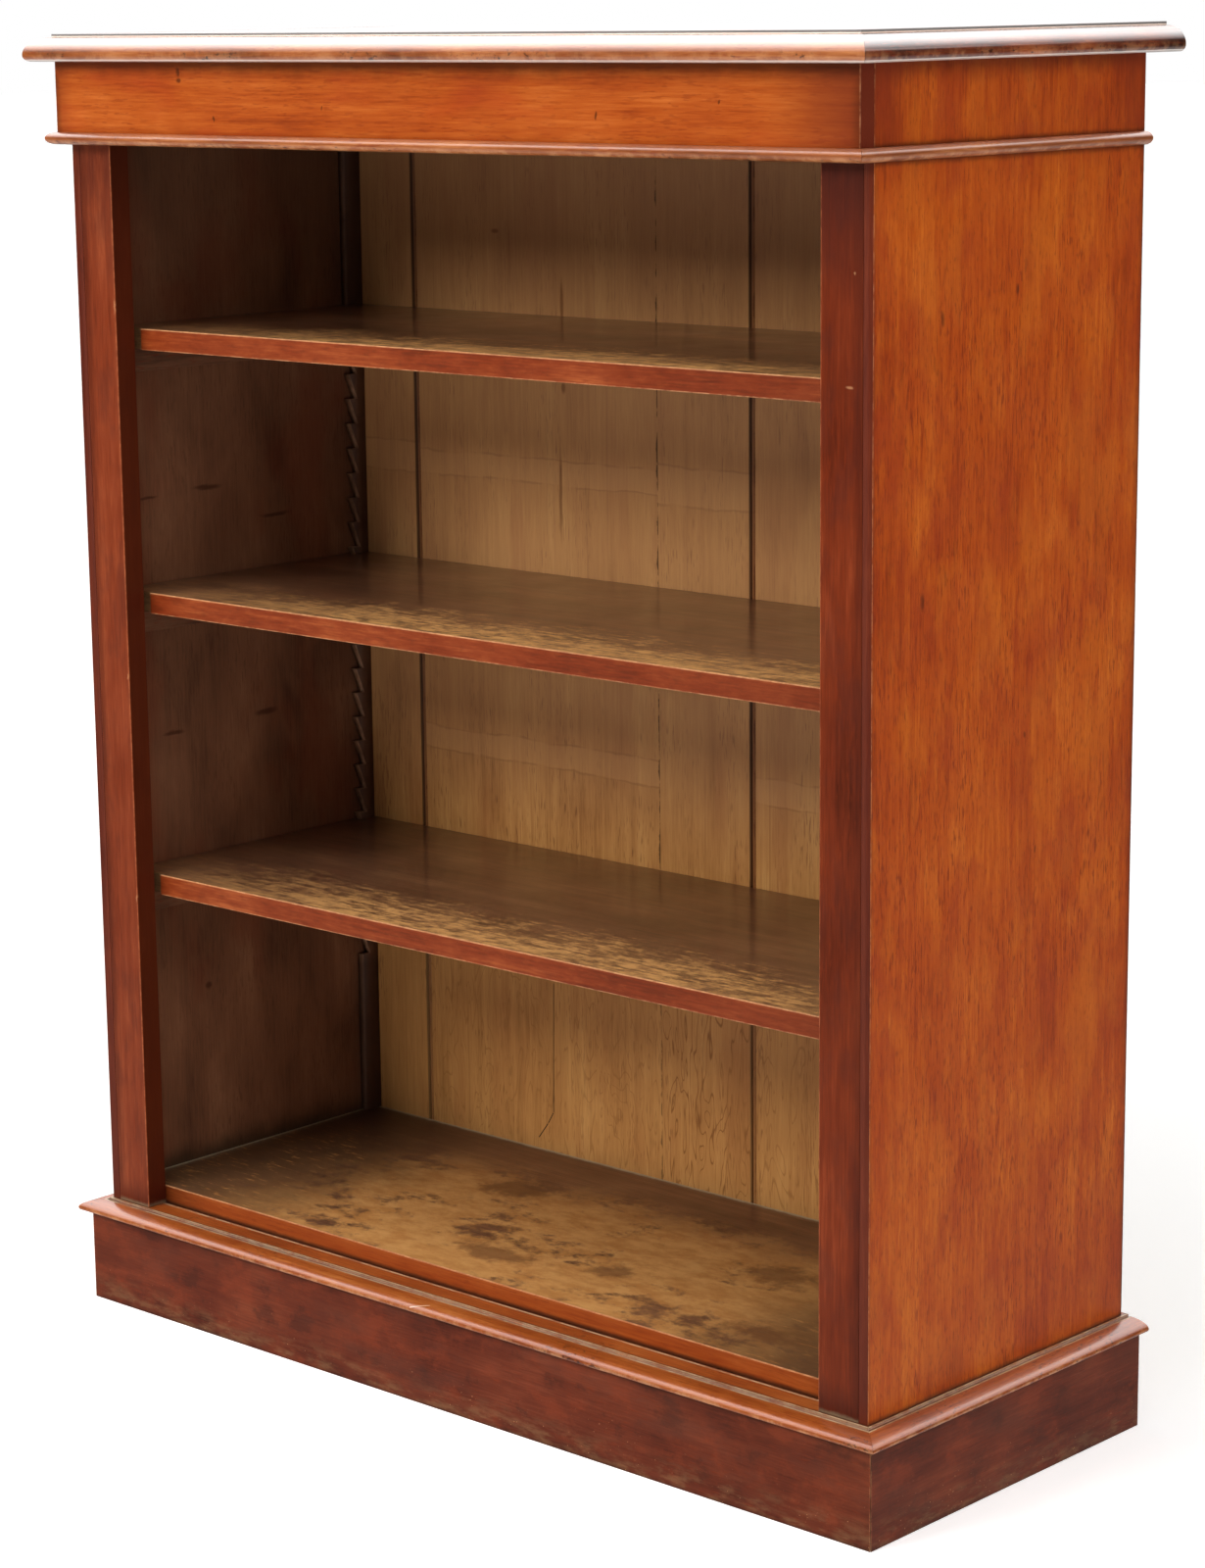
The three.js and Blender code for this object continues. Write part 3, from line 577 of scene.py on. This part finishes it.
def make_base_mouldings():
    """The plinth's capping: its nose, then a dirty groove between two dusty lines against the carcase."""
    panel_low, panel_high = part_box("right_side_panel")
    for node, axis, seed in (("base_moulding_front", "x", 101), ("base_moulding_left", "y", 111),
                             ("base_moulding_right", "y", 121)):
        s, away, colour, height = make_moulding(node, BASE_MOULDING_TONES, axis, seed, worn_below=0.45, spread=0.7)
        out = s.sub(panel_low.y, s.y) if node == "base_moulding_front" else s.sub(s.size(s.x), panel_high.x)
        wander = ragged(s, seed + 14, 0.2, 30)
        placed = s.add(out, wander)
        dusty = s.step(s.noise(24, seed + 15, **PATCHY), 0.38, 0.56, 0.35, 1.0)
        pale = s.most(s.near(placed, 1.9 * MM, 1.7 * MM), s.near(placed, 6.0 * MM, 1.5 * MM))
        colour = s.lay(colour, CREAM, pale, dusty, 0.9)
        groove = s.step(s.size(s.sub(placed, 4.0 * MM)), 1.3 * MM, 0.6 * MM)
        foot = s.step(s.size(placed), 0.8 * MM, 0.2 * MM)
        colour = s.lay(colour, lin(34, 18, 10), s.most(groove, foot), 0.9)
        if node == "base_moulding_front":
            back = s.add(s.sub(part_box("bottom_board")[0].y, s.y), wander)
            colour = s.lay(colour, CREAM, s.near(back, 3.2 * MM, 1.8 * MM), dusty, 0.85)
            colour = s.lay(colour, GRIME_AND_SHADE, s.step(back, 1.8 * MM, 0.9 * MM), 0.9)
            round_nose = s.add(away["z-"], away["y-"])
            score = s.scratch(s.x, round_nose, *SCORE, 0.9 * MM)
            colour = s.lay(colour, lin(232, 200, 172), score, 0.75)
        bright = s.step(placed, 4.6 * MM, 6.0 * MM)
        polish(s, node, colour, height, seed, coat=s.mul(bright, 0.42), coat_roughness=0.2, specular=0.14)


def make_plinth():
    """The dark boards on the floor, blotched, scuffed low down and flecked with pale specks."""
    for node, axis, seed in (("plinth_front", "x", 131), ("plinth_left", "y", 141), ("plinth_right", "y", 151),
                             ("plinth_back", "x", 161)):
        s = Shader(node + "_wood")
        away = distances(s, node)
        colour, height = grain(s, axis, PLINTH_TONES, seed, mottle=1.2, band=0.5, streak=0.5, fleck=0.4)
        blotch = s.noise((50, 50, 34), seed + 13, detail=5.0, roughness=0.65)
        colour = s.lay(colour, lin(124, 50, 24), s.step(blotch, 0.50, 0.66), 0.45)
        colour = s.lay(colour, lin(56, 26, 18), s.step(blotch, 0.46, 0.34), 0.50)
        scuff_noise = s.noise((30, 30, 8), seed + 5, detail=5.0, roughness=0.7)
        scuffs = s.mul(s.step(away["z-"], 34 * MM, 2 * MM), s.step(scuff_noise, 0.44, 0.66))
        colour = s.lay(colour, lin(122, 86, 56), scuffs, 0.55)
        greyed = s.step(s.noise((120, 120, 40), seed + 6, **CLOUDY), 0.50, 0.68)
        colour = s.lay(colour, lin(74, 44, 34), greyed, 0.3)
        # Darker under the base moulding's nose and along the floor: painted shade
        colour = dirt_and_shade(s, colour, away, {"z+": (9, 0.5), "z-": (5, 0.5)}, seed + 8)
        worn = arris(s, away, [("y-", "x+"), ("y-", "x-")], 1.6 * MM, seed + 9, least=0.15)
        colour = s.lay(colour, PALE_WEAR, worn, 0.22)
        speck_noise = s.noise(2.2, seed + 10, detail=1.0)
        specks = s.mul(s.step(speck_noise, 0.74, 0.78), s.step(away["z-"], 60 * MM, 10 * MM))
        colour = s.lay(colour, lin(190, 140, 96), specks, 0.7)
        paint(node, s.finish(colour, sheen(s, 0.40, 0.3, seed + 11), height, depth=0.3 * MM, strength=0.3, coat=0.08,
                             specular=0.22, tint=PLINTH_GLOSS))


def make_shelf(node, seed):
    """A loose shelf: its polish worn through to ochre along the front, most of all to the right."""
    s = Shader(node + "_wood")
    away = distances(s, node)
    top, _ = grain(s, "x", SHELF_TOP_TONES, seed, mottle=1.2, band=0.9, streak=0.8, fleck=0.3)
    wander = ragged(s, seed + 5, 40, 110)
    worn_zone = s.step(s.add(away["y-"], wander), 130 * MM, 10 * MM)
    clouds = s.noise((60, 34, 34), seed + 6, detail=3.0, roughness=0.6)
    strokes = s.noise((30, 5, 5), seed + 7, detail=6.0, roughness=0.72)
    rubbed_through = s.noise((16, 12, 12), seed + 14, detail=6.0, roughness=0.75)
    wear = s.add(s.mul(worn_zone, 0.55), s.swing(clouds, 0.8), s.swing(strokes, 2.4), s.swing(rubbed_through, 1.8))
    to_right = s.step(s.add(s.x, wander), *SHELF_WORN, 0.25, 1.0)
    worn = s.mul(s.step(wear, 0.02, 0.90), s.step(worn_zone, 0.0, 0.25), to_right)
    top = s.lay(top, OCHRE, worn, 0.92)
    height = s.along("x", 2.0, 40, seed + 15)
    # Painted shade: darker towards the back, under the shelf above, and at the ends by the sides
    top = dirt_and_shade(s, top, away, {"x-": (22, 0.4), "x+": (22, 0.4), "y+": (110, 0.30)}, seed + 8)
    front, _ = grain(s, "x", SHELF_EDGE_TONES, seed + 10, mottle=0.9, band=0.7, streak=0.8, fleck=0.4)
    speckle = s.noise((16, 4, 4), seed + 16, **RAGGED)
    front = s.lay(front, lin(172, 92, 46), s.step(speckle, 0.50, 0.68), 0.14)
    front = s.lay(front, lin(62, 22, 11), s.step(speckle, 0.48, 0.32), 0.28)
    front = s.mix(s.step(s.x, *SHELF_EDGE_DARK, 0.0, 0.28), front, lin(84, 28, 14))
    is_front = s.step(away["y-"], 1.0 * MM, 0.5 * MM)
    under, _ = grain(s, "x", INNER_TONES, seed + 20, band=0.9, streak=0.9, fleck=0.4)
    is_under = s.step(away["z-"], 0.8 * MM, 0.4 * MM)
    colour = s.mix(is_under, top, under)
    colour = s.mix(is_front, colour, front)
    upper = arris(s, away, [("y-", "z+")], 1.5 * MM, seed + 9, least=0.6)
    lower = arris(s, away, [("y-", "z-")], 1.3 * MM, seed + 13, least=0.3)
    colour = s.lay(colour, PALE_WEAR, s.most(upper, s.mul(lower, 0.7)), 0.75)
    roughness = s.add(sheen(s, 0.34, 0.2, seed + 12), s.mul(worn, 0.15), s.mul(is_front, 0.08))
    coat = s.mul(s.flip(worn), s.flip(is_front), 0.7)
    paint(node, s.finish(colour, roughness, height, depth=0.15 * MM, strength=0.15, coat=coat, coat_roughness=0.13,
                         specular=0.35, tint=SHELF_GLOSS))


def make_bottom_board():
    """The lowest bay's floor: worn golden in the middle, stained, dark at its ends, dusty in its corners."""
    node = "bottom_board"
    s = Shader("bottom_board_wood")
    away = distances(s, node)
    top, _ = grain(s, "x", SHELF_TOP_TONES, 201, band=0.8, streak=0.8, fleck=0.3)
    large = s.noise((115, 90, 90), 205, detail=4.0, roughness=0.55)
    fine = s.noise((24, 18, 18), 206, detail=7.0, roughness=0.72)
    middle = s.step(s.add(away["y+"], ragged(s, 207, 34, 80)), 30 * MM, 150 * MM)
    ends = s.step(s.add(s.least(away["x-"], away["x+"]), ragged(s, 214, 50, 70)), 60 * MM, 270 * MM)
    worn = s.step(s.add(large, s.swing(fine, 0.8), s.mul(middle, 0.16)), 0.46, 0.64)
    worn = s.mul(worn, middle, s.add(0.15, s.mul(ends, 0.85)))
    wiped = s.noise((34, 20, 20), 215, detail=5.0, roughness=0.7)
    gold = s.mix(s.step(wiped, 0.32, 0.68), lin(170, 116, 62), lin(198, 146, 86))
    top = s.lay(top, gold, worn, 0.9)
    top = s.lay(top, lin(52, 36, 25), s.flip(ends), 0.65)
    scrapes = s.noise((26, 5, 5), 218, detail=5.0, roughness=0.7)
    scraped = s.mul(s.step(scrapes, 0.54, 0.68), s.step(large, 0.36, 0.52), s.flip(ends), middle)
    top = s.lay(top, gold, scraped, 0.85)
    rounds = s.swing(s.noise(26, 216, detail=6.0, roughness=0.7), 2.2)
    top = marks(s, top, lin(88, 54, 33), 0.7, s.x, s.y, BOTTOM_STAINS, rounds)
    corner = s.least(away["x-"], away["x+"], away["y+"])
    dusty = s.step(s.add(corner, ragged(s, 208, 4, 12)), 12 * MM, 1 * MM)
    top = s.lay(top, DUST, dusty, 0.35)
    line = s.step(s.add(corner, ragged(s, 210, 2.0, 9)), 5.0 * MM, 2.5 * MM)
    top = s.lay(top, lin(168, 156, 128), line, 0.85)
    height = s.along("x", 2.4, 40, 213, detail=3.0)
    edge, _ = grain(s, "x", FRIEZE_TONES, 211, mottle=0.9, band=0.8, streak=0.9)
    edge = s.mix(0.35, edge, lin(106, 44, 16))
    foot = s.step(s.add(away["z-"], ragged(s, 217, 0.8, 14)), 5 * MM, 1.2 * MM)
    edge = s.lay(edge, GRIME_AND_SHADE, foot, 0.85)
    edge = dirt_and_shade(s, edge, away, {"x-": (135, 0.85), "x+": (80, 0.6)}, 219)
    is_front = s.step(away["y-"], 1.0 * MM, 0.5 * MM)
    colour = s.mix(is_front, top, edge)
    rubbed = arris(s, away, [("y-", "z+")], 1.6 * MM, 209, least=0.6)
    colour = s.lay(colour, PALE_WEAR, rubbed, 0.7)
    roughness = s.add(sheen(s, 0.36, 0.2, 212), s.mul(worn, 0.12))
    paint(node, s.finish(colour, roughness, height, depth=0.3 * MM, strength=0.25, coat=0.05, specular=0.35,
                         tint=SHELF_GLOSS))


def make_back_board(node, seed, shelf_marks, figure=0.0, bead=False):
    """A pine back board: fine upright grain, resin streaks, dirt in its joints, and a rough rear face.

    shelf_marks are the heights of the marks of old shelves, figure is how strongly its lower part is figured, and
    a bead runs down the right edge of some.
    """
    s = Shader(node + "_wood")
    away = distances(s, node)
    colour, height = grain(s, "z", PINE_TONES, seed, mottle=0.8, band=0.7, streak=0.55, fleck=0.0)
    dashes = s.along("z", 1.4, 17, seed + 5, detail=1.0)
    where = s.step(s.along("z", 30, 130, seed + 6, detail=3.0), 0.44, 0.62, 0.15, 1.0)
    colour = s.lay(colour, RESIN, s.step(dashes, 0.57, 0.70), where, 0.65)
    lines = s.along("z", 2.6, 300, seed + 12)
    colour = s.lay(colour, lin(120, 70, 36), s.step(lines, 0.62, 0.74), 0.35)
    stain = s.step(s.along("z", 34, 200, seed + 7, detail=3.0), 0.50, 0.70)
    colour = s.lay(colour, lin(146, 84, 44), stain, 0.4)
    wobble = s.swing(s.noise((60, 60, 30), seed + 13, **CLOUDY), 26 * MM)
    for foot, head in shelf_marks:
        level = s.add(s.z, s.mul(wobble, 0.5))
        inside = s.mul(s.step(level, foot, foot + 2 * MM), s.step(level, head, head - 2 * MM))
        rim = s.most(*(s.step(s.size(s.sub(level, edge)), 1.6 * MM, 0.4 * MM) for edge in (foot, head)))
        colour = s.lay(colour, lin(206, 154, 98), inside, 0.22)
        broken = s.step(s.noise(34, seed + 14, detail=3.0), 0.40, 0.56)
        colour = s.lay(colour, lin(118, 72, 38), rim, broken, 0.40)
    if figure:
        ripple = s.noise((30, 30, 150), seed + 15, roughness=0.6, distortion=0.5)
        rings = s.size(s.math("SINE", s.mul(ripple, 34.0)))
        fade = s.step(s.noise(50, seed + 16), 0.28, 0.46)
        curl = s.mul(s.step(rings, 0.30, 0.04), s.step(s.z, *FIGURED_BACK), fade, figure)
        colour = s.mix(curl, colour, lin(122, 70, 28))
    colour = s.mix(s.step(s.z, *UPPER_BACK, 0.0, 0.35), colour, lin(188, 140, 100))
    colour = s.lay(colour, lin(112, 72, 50), s.step(s.z, *BACK_SHADE), 0.42)
    colour = dirt_and_shade(s, colour, away, {"z-": (40, 0.35)}, seed + 9, tone=lin(96, 72, 44))
    colour = dirt_and_shade(s, colour, away, {"x-": (2.4, 0.75), "x+": (1.2, 0.8)}, seed + 8, tone=lin(44, 24, 14))
    if bead:
        quirk = s.step(s.size(s.sub(away["x+"], 6.4 * MM)), 1.6 * MM, 0.6 * MM)
        round_part = s.step(away["x+"], 6.4 * MM, 5.6 * MM)
        colour = s.lay(colour, lin(112, 62, 32), round_part, 0.75)
        colour = s.lay(colour, lin(52, 26, 14), quirk, 0.8)
    # Painted light: the back's low bay is lightened
    colour = s.lay(colour, lin(226, 168, 98), s.step(s.z, *PAINTED_LIGHT_LOW_BACK), 0.16)
    if node == "back_board_2":
        crack = s.most(*(s.scratch(s.x, s.z, *ends, 0.8 * MM) for ends in zip(CRACK, CRACK[1:])))
        colour = s.mix(crack, colour, lin(30, 14, 8))
        colour = marks(s, colour, RESIN, 0.6, s.add(s.x, s.mul(wobble, 0.12)), s.z, BACK_SPOTS)
    rear, _ = grain(s, "z", ROUGH_PINE_TONES, seed + 17, mottle=0.7, streak=0.9, fleck=0.4,
                    fleck_colour=RESIN)
    soot = s.step(s.noise(110, seed + 18, **CLOUDY), 0.44, 0.70)
    rear = s.lay(rear, lin(92, 66, 44), soot, 0.32)
    edges = {"x-": (7, 0.4), "x+": (7, 0.4), "z-": (26, 0.5), "z+": (16, 0.5)}
    rear = dirt_and_shade(s, rear, away, edges, seed + 19)
    joint = s.step(s.least(away["x-"], away["x+"]), 2.2 * MM, 0.9 * MM)
    rear = s.lay(rear, GRIME_AND_SHADE, joint, 0.85)
    colour = s.mix(s.step(s.ny, 0.5, 0.8), colour, rear)
    paint(node, s.finish(colour, sheen(s, 0.6, 0.2, seed + 10), height, depth=0.3 * MM, strength=0.3, specular=0.3))


def cover(names, material):
    for name in names:
        paint(name, material)


def make_plain(names, label, wood, axis, seed, rough=0.6):
    """One bare, sooty wood for several pieces."""
    s = Shader(label)
    colour, height = grain(s, axis, wood, seed)
    soot = s.step(s.noise(120, seed + 6, **CLOUDY), 0.48, 0.70)
    colour = s.lay(colour, GRIME_AND_SHADE, soot, 0.35)
    cover(names, s.finish(colour, sheen(s, rough, 0.2, seed + 7), height, depth=0.3 * MM, strength=0.3, specular=0.3))


def make_racks(names):
    """The toothed racks: bare, paler wood on the cut teeth, and painted shade on the wide faces."""
    s = Shader("rack_wood")
    colour, height = grain(s, "z", RACK_TONES, 261, band=0.8, streak=0.8, fleck=0.4,
                           fleck_colour=DARK_FLECK)
    # Painted shade: the wide faces are darkened against the teeth
    shaded_faces = s.step(s.size(s.nx), 0.5, 0.8)
    colour = s.lay(colour, lin(74, 46, 32), shaded_faces, 0.8)
    soot = s.step(s.noise(40, 266, **CLOUDY), 0.46, 0.68)
    colour = s.lay(colour, DARK_FLECK, soot, 0.4)
    dark_ends = s.most(s.step(s.z, *RACK_HEAD), s.step(s.z, *RACK_FOOT))
    colour = s.lay(colour, lin(66, 42, 30), dark_ends, 0.75)
    cover(names, s.finish(colour, sheen(s, 0.6, 0.2, 267), height, depth=0.3 * MM, strength=0.3, specular=0.3))


def make_steel(names):
    """The screws' rusted steel. The nails take it too."""
    s = Shader("dulled_steel")
    rust = s.step(s.noise(1.5, 301, **PATCHY), 0.42, 0.62)
    colour = s.mix(rust, lin(120, 114, 108), lin(84, 56, 40))
    material = s.finish(colour, s.add(0.38, s.mul(rust, 0.35)), rust, depth=0.1 * MM, strength=0.3, metallic=0.8)
    cover(names, material)
    return material


make_side("right_side_panel", 1)
make_side("left_side_panel", 11)
make_frieze()
make_pilaster("right_pilaster", RED_TONES, 21, haze=0.95, nicks=RIGHT_NICKS)
make_pilaster("left_pilaster", LEFT_TONES, 31, haze=0.5, nicks=LEFT_NICKS)
make_top_mouldings()
make_astragals()
make_base_mouldings()
make_plinth()
for shelf, seed in (("upper_shelf", 171), ("middle_shelf", 175), ("lower_shelf", 179)):
    make_shelf(shelf, seed)
make_bottom_board()
make_back_board("back_board_1", 221, [SHELF_MARK_HIGH_LEFT], bead=True)
make_back_board("back_board_2", 231, [SHELF_MARK_HIGH, SHELF_MARK_LOW], figure=0.45)
make_back_board("back_board_3", 241, [SHELF_MARK_HIGH_RIGHT], figure=1.0, bead=True)
make_back_board("back_board_4", 251, [SHELF_MARK_LOW], figure=0.5)
make_racks([n for n in nodes if n.startswith("rack_")])
make_plain([n for n in nodes if "_bearer_" in n], "bearer_wood", INNER_TONES, "y", 266)
make_plain(["carcase_top_board", "frieze_rail", "base_rear_rail"], "carcase_pine", ROUGH_PINE_TONES, "x", 271,
           rough=0.7)
make_plain([n for n in nodes if n.startswith("glue_block")], "block_pine", ROUGH_PINE_TONES, "z", 276, rough=0.75)
make_top_board()
steel = make_steel([n for n in nodes if "screw" in n])


NAIL_INSET, NAIL_PITCH = 22 * MM, 130 * MM
NAIL_SIDES = 8
NAIL_FACETS = (1.12, 0.94)  # the corners of a head are by turns further out and nearer
NAIL_RINGS = ((1.0, -0.1 * MM), (0.96, 0.3 * MM), (0.62, 0.55 * MM))  # share of the radius, height over the board
NAIL_CROWN, NAIL_HEEL = 0.62 * MM, -0.1 * MM


def make_nails():
    """The nails that hold the back boards to the carcase, their uneven heads just proud of the rear face."""
    chance = random.Random(17)
    mesh = bmesh.new()
    rows = [(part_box(n)[0].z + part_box(n)[1].z) / 2 for n in ("bottom_board", "carcase_top_board")]
    for number in (1, 2, 3, 4):
        low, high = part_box(f"back_board_{number}")
        span = high.x - low.x - 2 * NAIL_INSET
        count = max(2, round(span / NAIL_PITCH) + 1)
        for z in rows:
            for i in range(count):
                x = low.x + NAIL_INSET + span * i / (count - 1) + chance.uniform(-3, 3) * MM
                at = Vector((x, high.y, z + chance.uniform(-1.5, 1.5) * MM))
                turn = chance.uniform(0, math.tau)
                radius = chance.uniform(2.1, 2.6) * MM
                rings = []
                for share, proud in NAIL_RINGS:
                    ring = []
                    for k in range(NAIL_SIDES):
                        angle = turn + k * math.tau / NAIL_SIDES
                        reach = radius * share * NAIL_FACETS[k % 2]
                        corner = Vector((reach * math.cos(angle), proud, reach * math.sin(angle)))
                        ring.append(mesh.verts.new(at + corner))
                    rings.append(ring)
                sides = [(k, (k + 1) % NAIL_SIDES) for k in range(NAIL_SIDES)]
                for lower, upper in zip(rings, rings[1:]):
                    for k, after in sides:
                        mesh.faces.new((lower[k], upper[k], upper[after], lower[after]))
                crown = mesh.verts.new(at + Vector((0, NAIL_CROWN, 0)))
                heel = mesh.verts.new(at + Vector((0, NAIL_HEEL, 0)))
                for k, after in sides:
                    mesh.faces.new((rings[-1][k], crown, rings[-1][after]))
                    mesh.faces.new((rings[0][k], rings[0][after], heel))
    bmesh.ops.recalc_face_normals(mesh, faces=mesh.faces)
    data = bpy.data.meshes.new("back_nails")
    mesh.to_mesh(data)
    mesh.free()
    for face in data.polygons:
        face.use_smooth = True
    nails = bpy.data.objects.new("back_nails", data)
    bpy.context.scene.collection.objects.link(nails)
    data.materials.append(steel)
    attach(nails, "carcase")


make_nails()


def smooth_group():
    """A geometry group that shades a welded CAD mesh smooth, so that weighted normals can work on it."""
    group = bpy.data.node_groups.new("shade_smooth", "GeometryNodeTree")
    group.interface.new_socket("Geometry", in_out="INPUT", socket_type="NodeSocketGeometry")
    group.interface.new_socket("Geometry", in_out="OUTPUT", socket_type="NodeSocketGeometry")
    start = group.nodes.new("NodeGroupInput")
    end = group.nodes.new("NodeGroupOutput")
    smooth = group.nodes.new("GeometryNodeSetShadeSmooth")
    group.links.new(start.outputs[0], smooth.inputs[0])
    group.links.new(smooth.outputs[0], end.inputs[0])
    return group


SMOOTH = smooth_group()
WELD_REACH = 0.005 * MM
ARRIS_RADIUS = 0.4 * MM
ARRIS_ANGLE = math.radians(40)
FACE_WEIGHT = 90  # above 50, so that large faces stay flat up to their softened arrises
NO_BEVEL = ("moulding", "astragal", "screw", "rack", "back_board")
for name, piece in nodes.items():
    weld = piece.modifiers.new("weld", "WELD")
    weld.merge_threshold = WELD_REACH
    shade = piece.modifiers.new("smooth", "NODES")
    shade.node_group = SMOOTH
    if not any(word in name for word in NO_BEVEL):
        bevel = piece.modifiers.new("arris", "BEVEL")
        bevel.width = ARRIS_RADIUS
        bevel.segments = 2
        bevel.limit_method = "ANGLE"
        bevel.angle_limit = ARRIS_ANGLE
    weight = piece.modifiers.new("normals", "WEIGHTED_NORMAL")
    weight.weight = FACE_WEIGHT
    weight.keep_sharp = False


# Floor, light and camera
FLOOR_REACH = 40.0
FLOOR_DROP = 0.2 * MM
FLOOR_GLOW_FROM, FLOOR_GLOW_TO = 0.5, 2.4  # metres from the middle between which the floor turns white
FLOOR_GLOW_NEAR, FLOOR_GLOW_FAR = 0.42, 0.65
AMBIENT = 0.26
GLOSS_SKY = 11.0  # seen only in reflections, as are the next two
GLOSS_BACKDROP = 1.3
GLOSS_GROUND = 0.7
# Each lamp's name, place, aim, (width, height) and power
LAMPS = (("key", (-1.1, -3.6, 2.6), (0, 0, 0.6), (2.0, 1.0), 118),
         ("overhead", (0.4, -1.2, 4.2), (0, 0, 0.5), (4.0, 3.0), 85),
         ("right", (4.4, -0.9, 2.2), (0, 0, 0.6), (2.4, 2.4), 56))
# The photo's viewing angle, from a fit to the edges in it
CAMERA_PLACE = (2.372, -2.577, 1.280)
CAMERA_YAW, CAMERA_PITCH, CAMERA_ROLL = 43.526, 12.501, -0.867  # degrees
CAMERA_LENS, CAMERA_SENSOR = 88.43, 36.0  # millimetres
CAMERA_SHIFT = (0.0507, 0.0396)


def make_floor():
    """A pale floor that glows a little more with distance, so that it ends in white all round."""
    reach = FLOOR_REACH
    mesh = bpy.data.meshes.new("floor")
    corners = [(-reach, -reach, 0), (reach, -reach, 0), (reach, reach, 0), (-reach, reach, 0)]
    mesh.from_pydata(corners, [], [(0, 1, 2, 3)])
    floor = bpy.data.objects.new("floor", mesh)
    bpy.context.scene.collection.objects.link(floor)
    floor.location.z = cad_low.z - FLOOR_DROP
    s = Shader("floor_paper")
    tone = s.noise(600, 400)
    colour = s.mix(tone, lin(240, 240, 239), lin(245, 245, 244))
    material = s.finish(colour, 0.9, specular=0.1)
    shader = next(n for n in s.tree.nodes if n.type == "BSDF_PRINCIPLED")
    away = s.math("SQRT", s.add(s.mul(s.x, s.x), s.mul(s.y, s.y)))
    glow = s.step(away, FLOOR_GLOW_FROM, FLOOR_GLOW_TO, FLOOR_GLOW_NEAR, FLOOR_GLOW_FAR)
    s.put(shader.inputs["Emission Strength"], glow)
    shader.inputs["Emission Color"].default_value = WHITE
    mesh.materials.append(material)
    floor.visible_glossy = False


def make_lamp(name, at, target, size, power):
    light = bpy.data.lights.new(name, "AREA")
    light.shape = "RECTANGLE"
    light.size, light.size_y = size
    light.energy = power
    lamp = bpy.data.objects.new(name, light)
    bpy.context.scene.collection.objects.link(lamp)
    lamp.location = at
    lamp.visible_glossy = False
    lamp.rotation_mode = "QUATERNION"
    lamp.rotation_quaternion = (Vector(target) - Vector(at)).to_track_quat("-Z", "Y")


def make_world():
    """White to the eye, a soft light on the surfaces, and a studio of its own in reflections.

    The studio has a sky that brightens upward, a backdrop behind and to the left, and a pale ground.
    """
    world = bpy.data.worlds.new("studio")
    bpy.context.scene.world = world
    world.use_nodes = True
    tree = world.node_tree
    tree.nodes.clear()

    def new(kind, *inputs):
        """A node whose first inputs take the numbers and outputs given."""
        node = tree.nodes.new(kind)
        for socket, value in zip(node.inputs, inputs):
            if isinstance(value, bpy.types.NodeSocket):
                tree.links.new(value, socket)
            else:
                socket.default_value = value
        return node

    def over(value, start, end, low, high):
        """A smooth change from low at start to high at end."""
        node = new("ShaderNodeMapRange", value, start, end, low, high)
        node.interpolation_type = "SMOOTHSTEP"
        return node.outputs[0]

    def joined(operation, first, second):
        node = new("ShaderNodeMath", first, second)
        node.operation = operation
        return node.outputs[0]

    direction = new("ShaderNodeTexCoord").outputs["Generated"]
    east, north, up = new("ShaderNodeSeparateXYZ", direction).outputs
    sky = over(up, 0.24, 0.94, 0.02, GLOSS_SKY)
    corner = joined("MULTIPLY", over(north, 0.30, 0.50, 0.0, 1.0), over(east, -0.30, -0.50, 0.0, 1.0))
    backdrop = joined("MULTIPLY", corner, over(up, -0.02, 0.01, 0.0, GLOSS_BACKDROP))
    ground = over(up, -0.20, -0.50, 0.0, GLOSS_GROUND)
    studio = joined("ADD", joined("ADD", sky, backdrop), ground)
    ambient, reflected, plain = (new("ShaderNodeBackground", WHITE, strength).outputs[0]
                                 for strength in (AMBIENT, studio, 1.0))
    ray = new("ShaderNodeLightPath").outputs
    by_gloss = new("ShaderNodeMixShader", ray["Is Glossy Ray"], ambient, reflected).outputs[0]
    by_eye = new("ShaderNodeMixShader", ray["Is Camera Ray"], by_gloss, plain).outputs[0]
    new("ShaderNodeOutputWorld", by_eye)


def make_camera():
    yaw, pitch, roll = (math.radians(angle) for angle in (CAMERA_YAW, CAMERA_PITCH, CAMERA_ROLL))
    forward = Vector((-math.sin(yaw) * math.cos(pitch), math.cos(yaw) * math.cos(pitch), -math.sin(pitch)))
    right = Vector((math.cos(yaw), math.sin(yaw), 0))
    up = right.cross(forward)
    tilted_right = math.cos(roll) * right + math.sin(roll) * up
    tilted_up = math.cos(roll) * up - math.sin(roll) * right
    data = bpy.data.cameras.new("camera")
    camera = bpy.data.objects.new("camera", data)
    bpy.context.scene.collection.objects.link(camera)
    data.sensor_fit = "AUTO"
    data.sensor_width = CAMERA_SENSOR
    data.lens = CAMERA_LENS
    data.shift_x, data.shift_y = CAMERA_SHIFT
    data.clip_start, data.clip_end = 0.05, 100
    turn = Matrix((tilted_right, tilted_up, -forward)).transposed().to_4x4()
    turn.translation = Vector(CAMERA_PLACE)
    camera.matrix_world = turn
    bpy.context.scene.camera = camera


make_floor()
make_world()
for lamp in LAMPS:
    make_lamp(*lamp)
make_camera()
bpy.context.scene.view_settings.view_transform = "Standard"
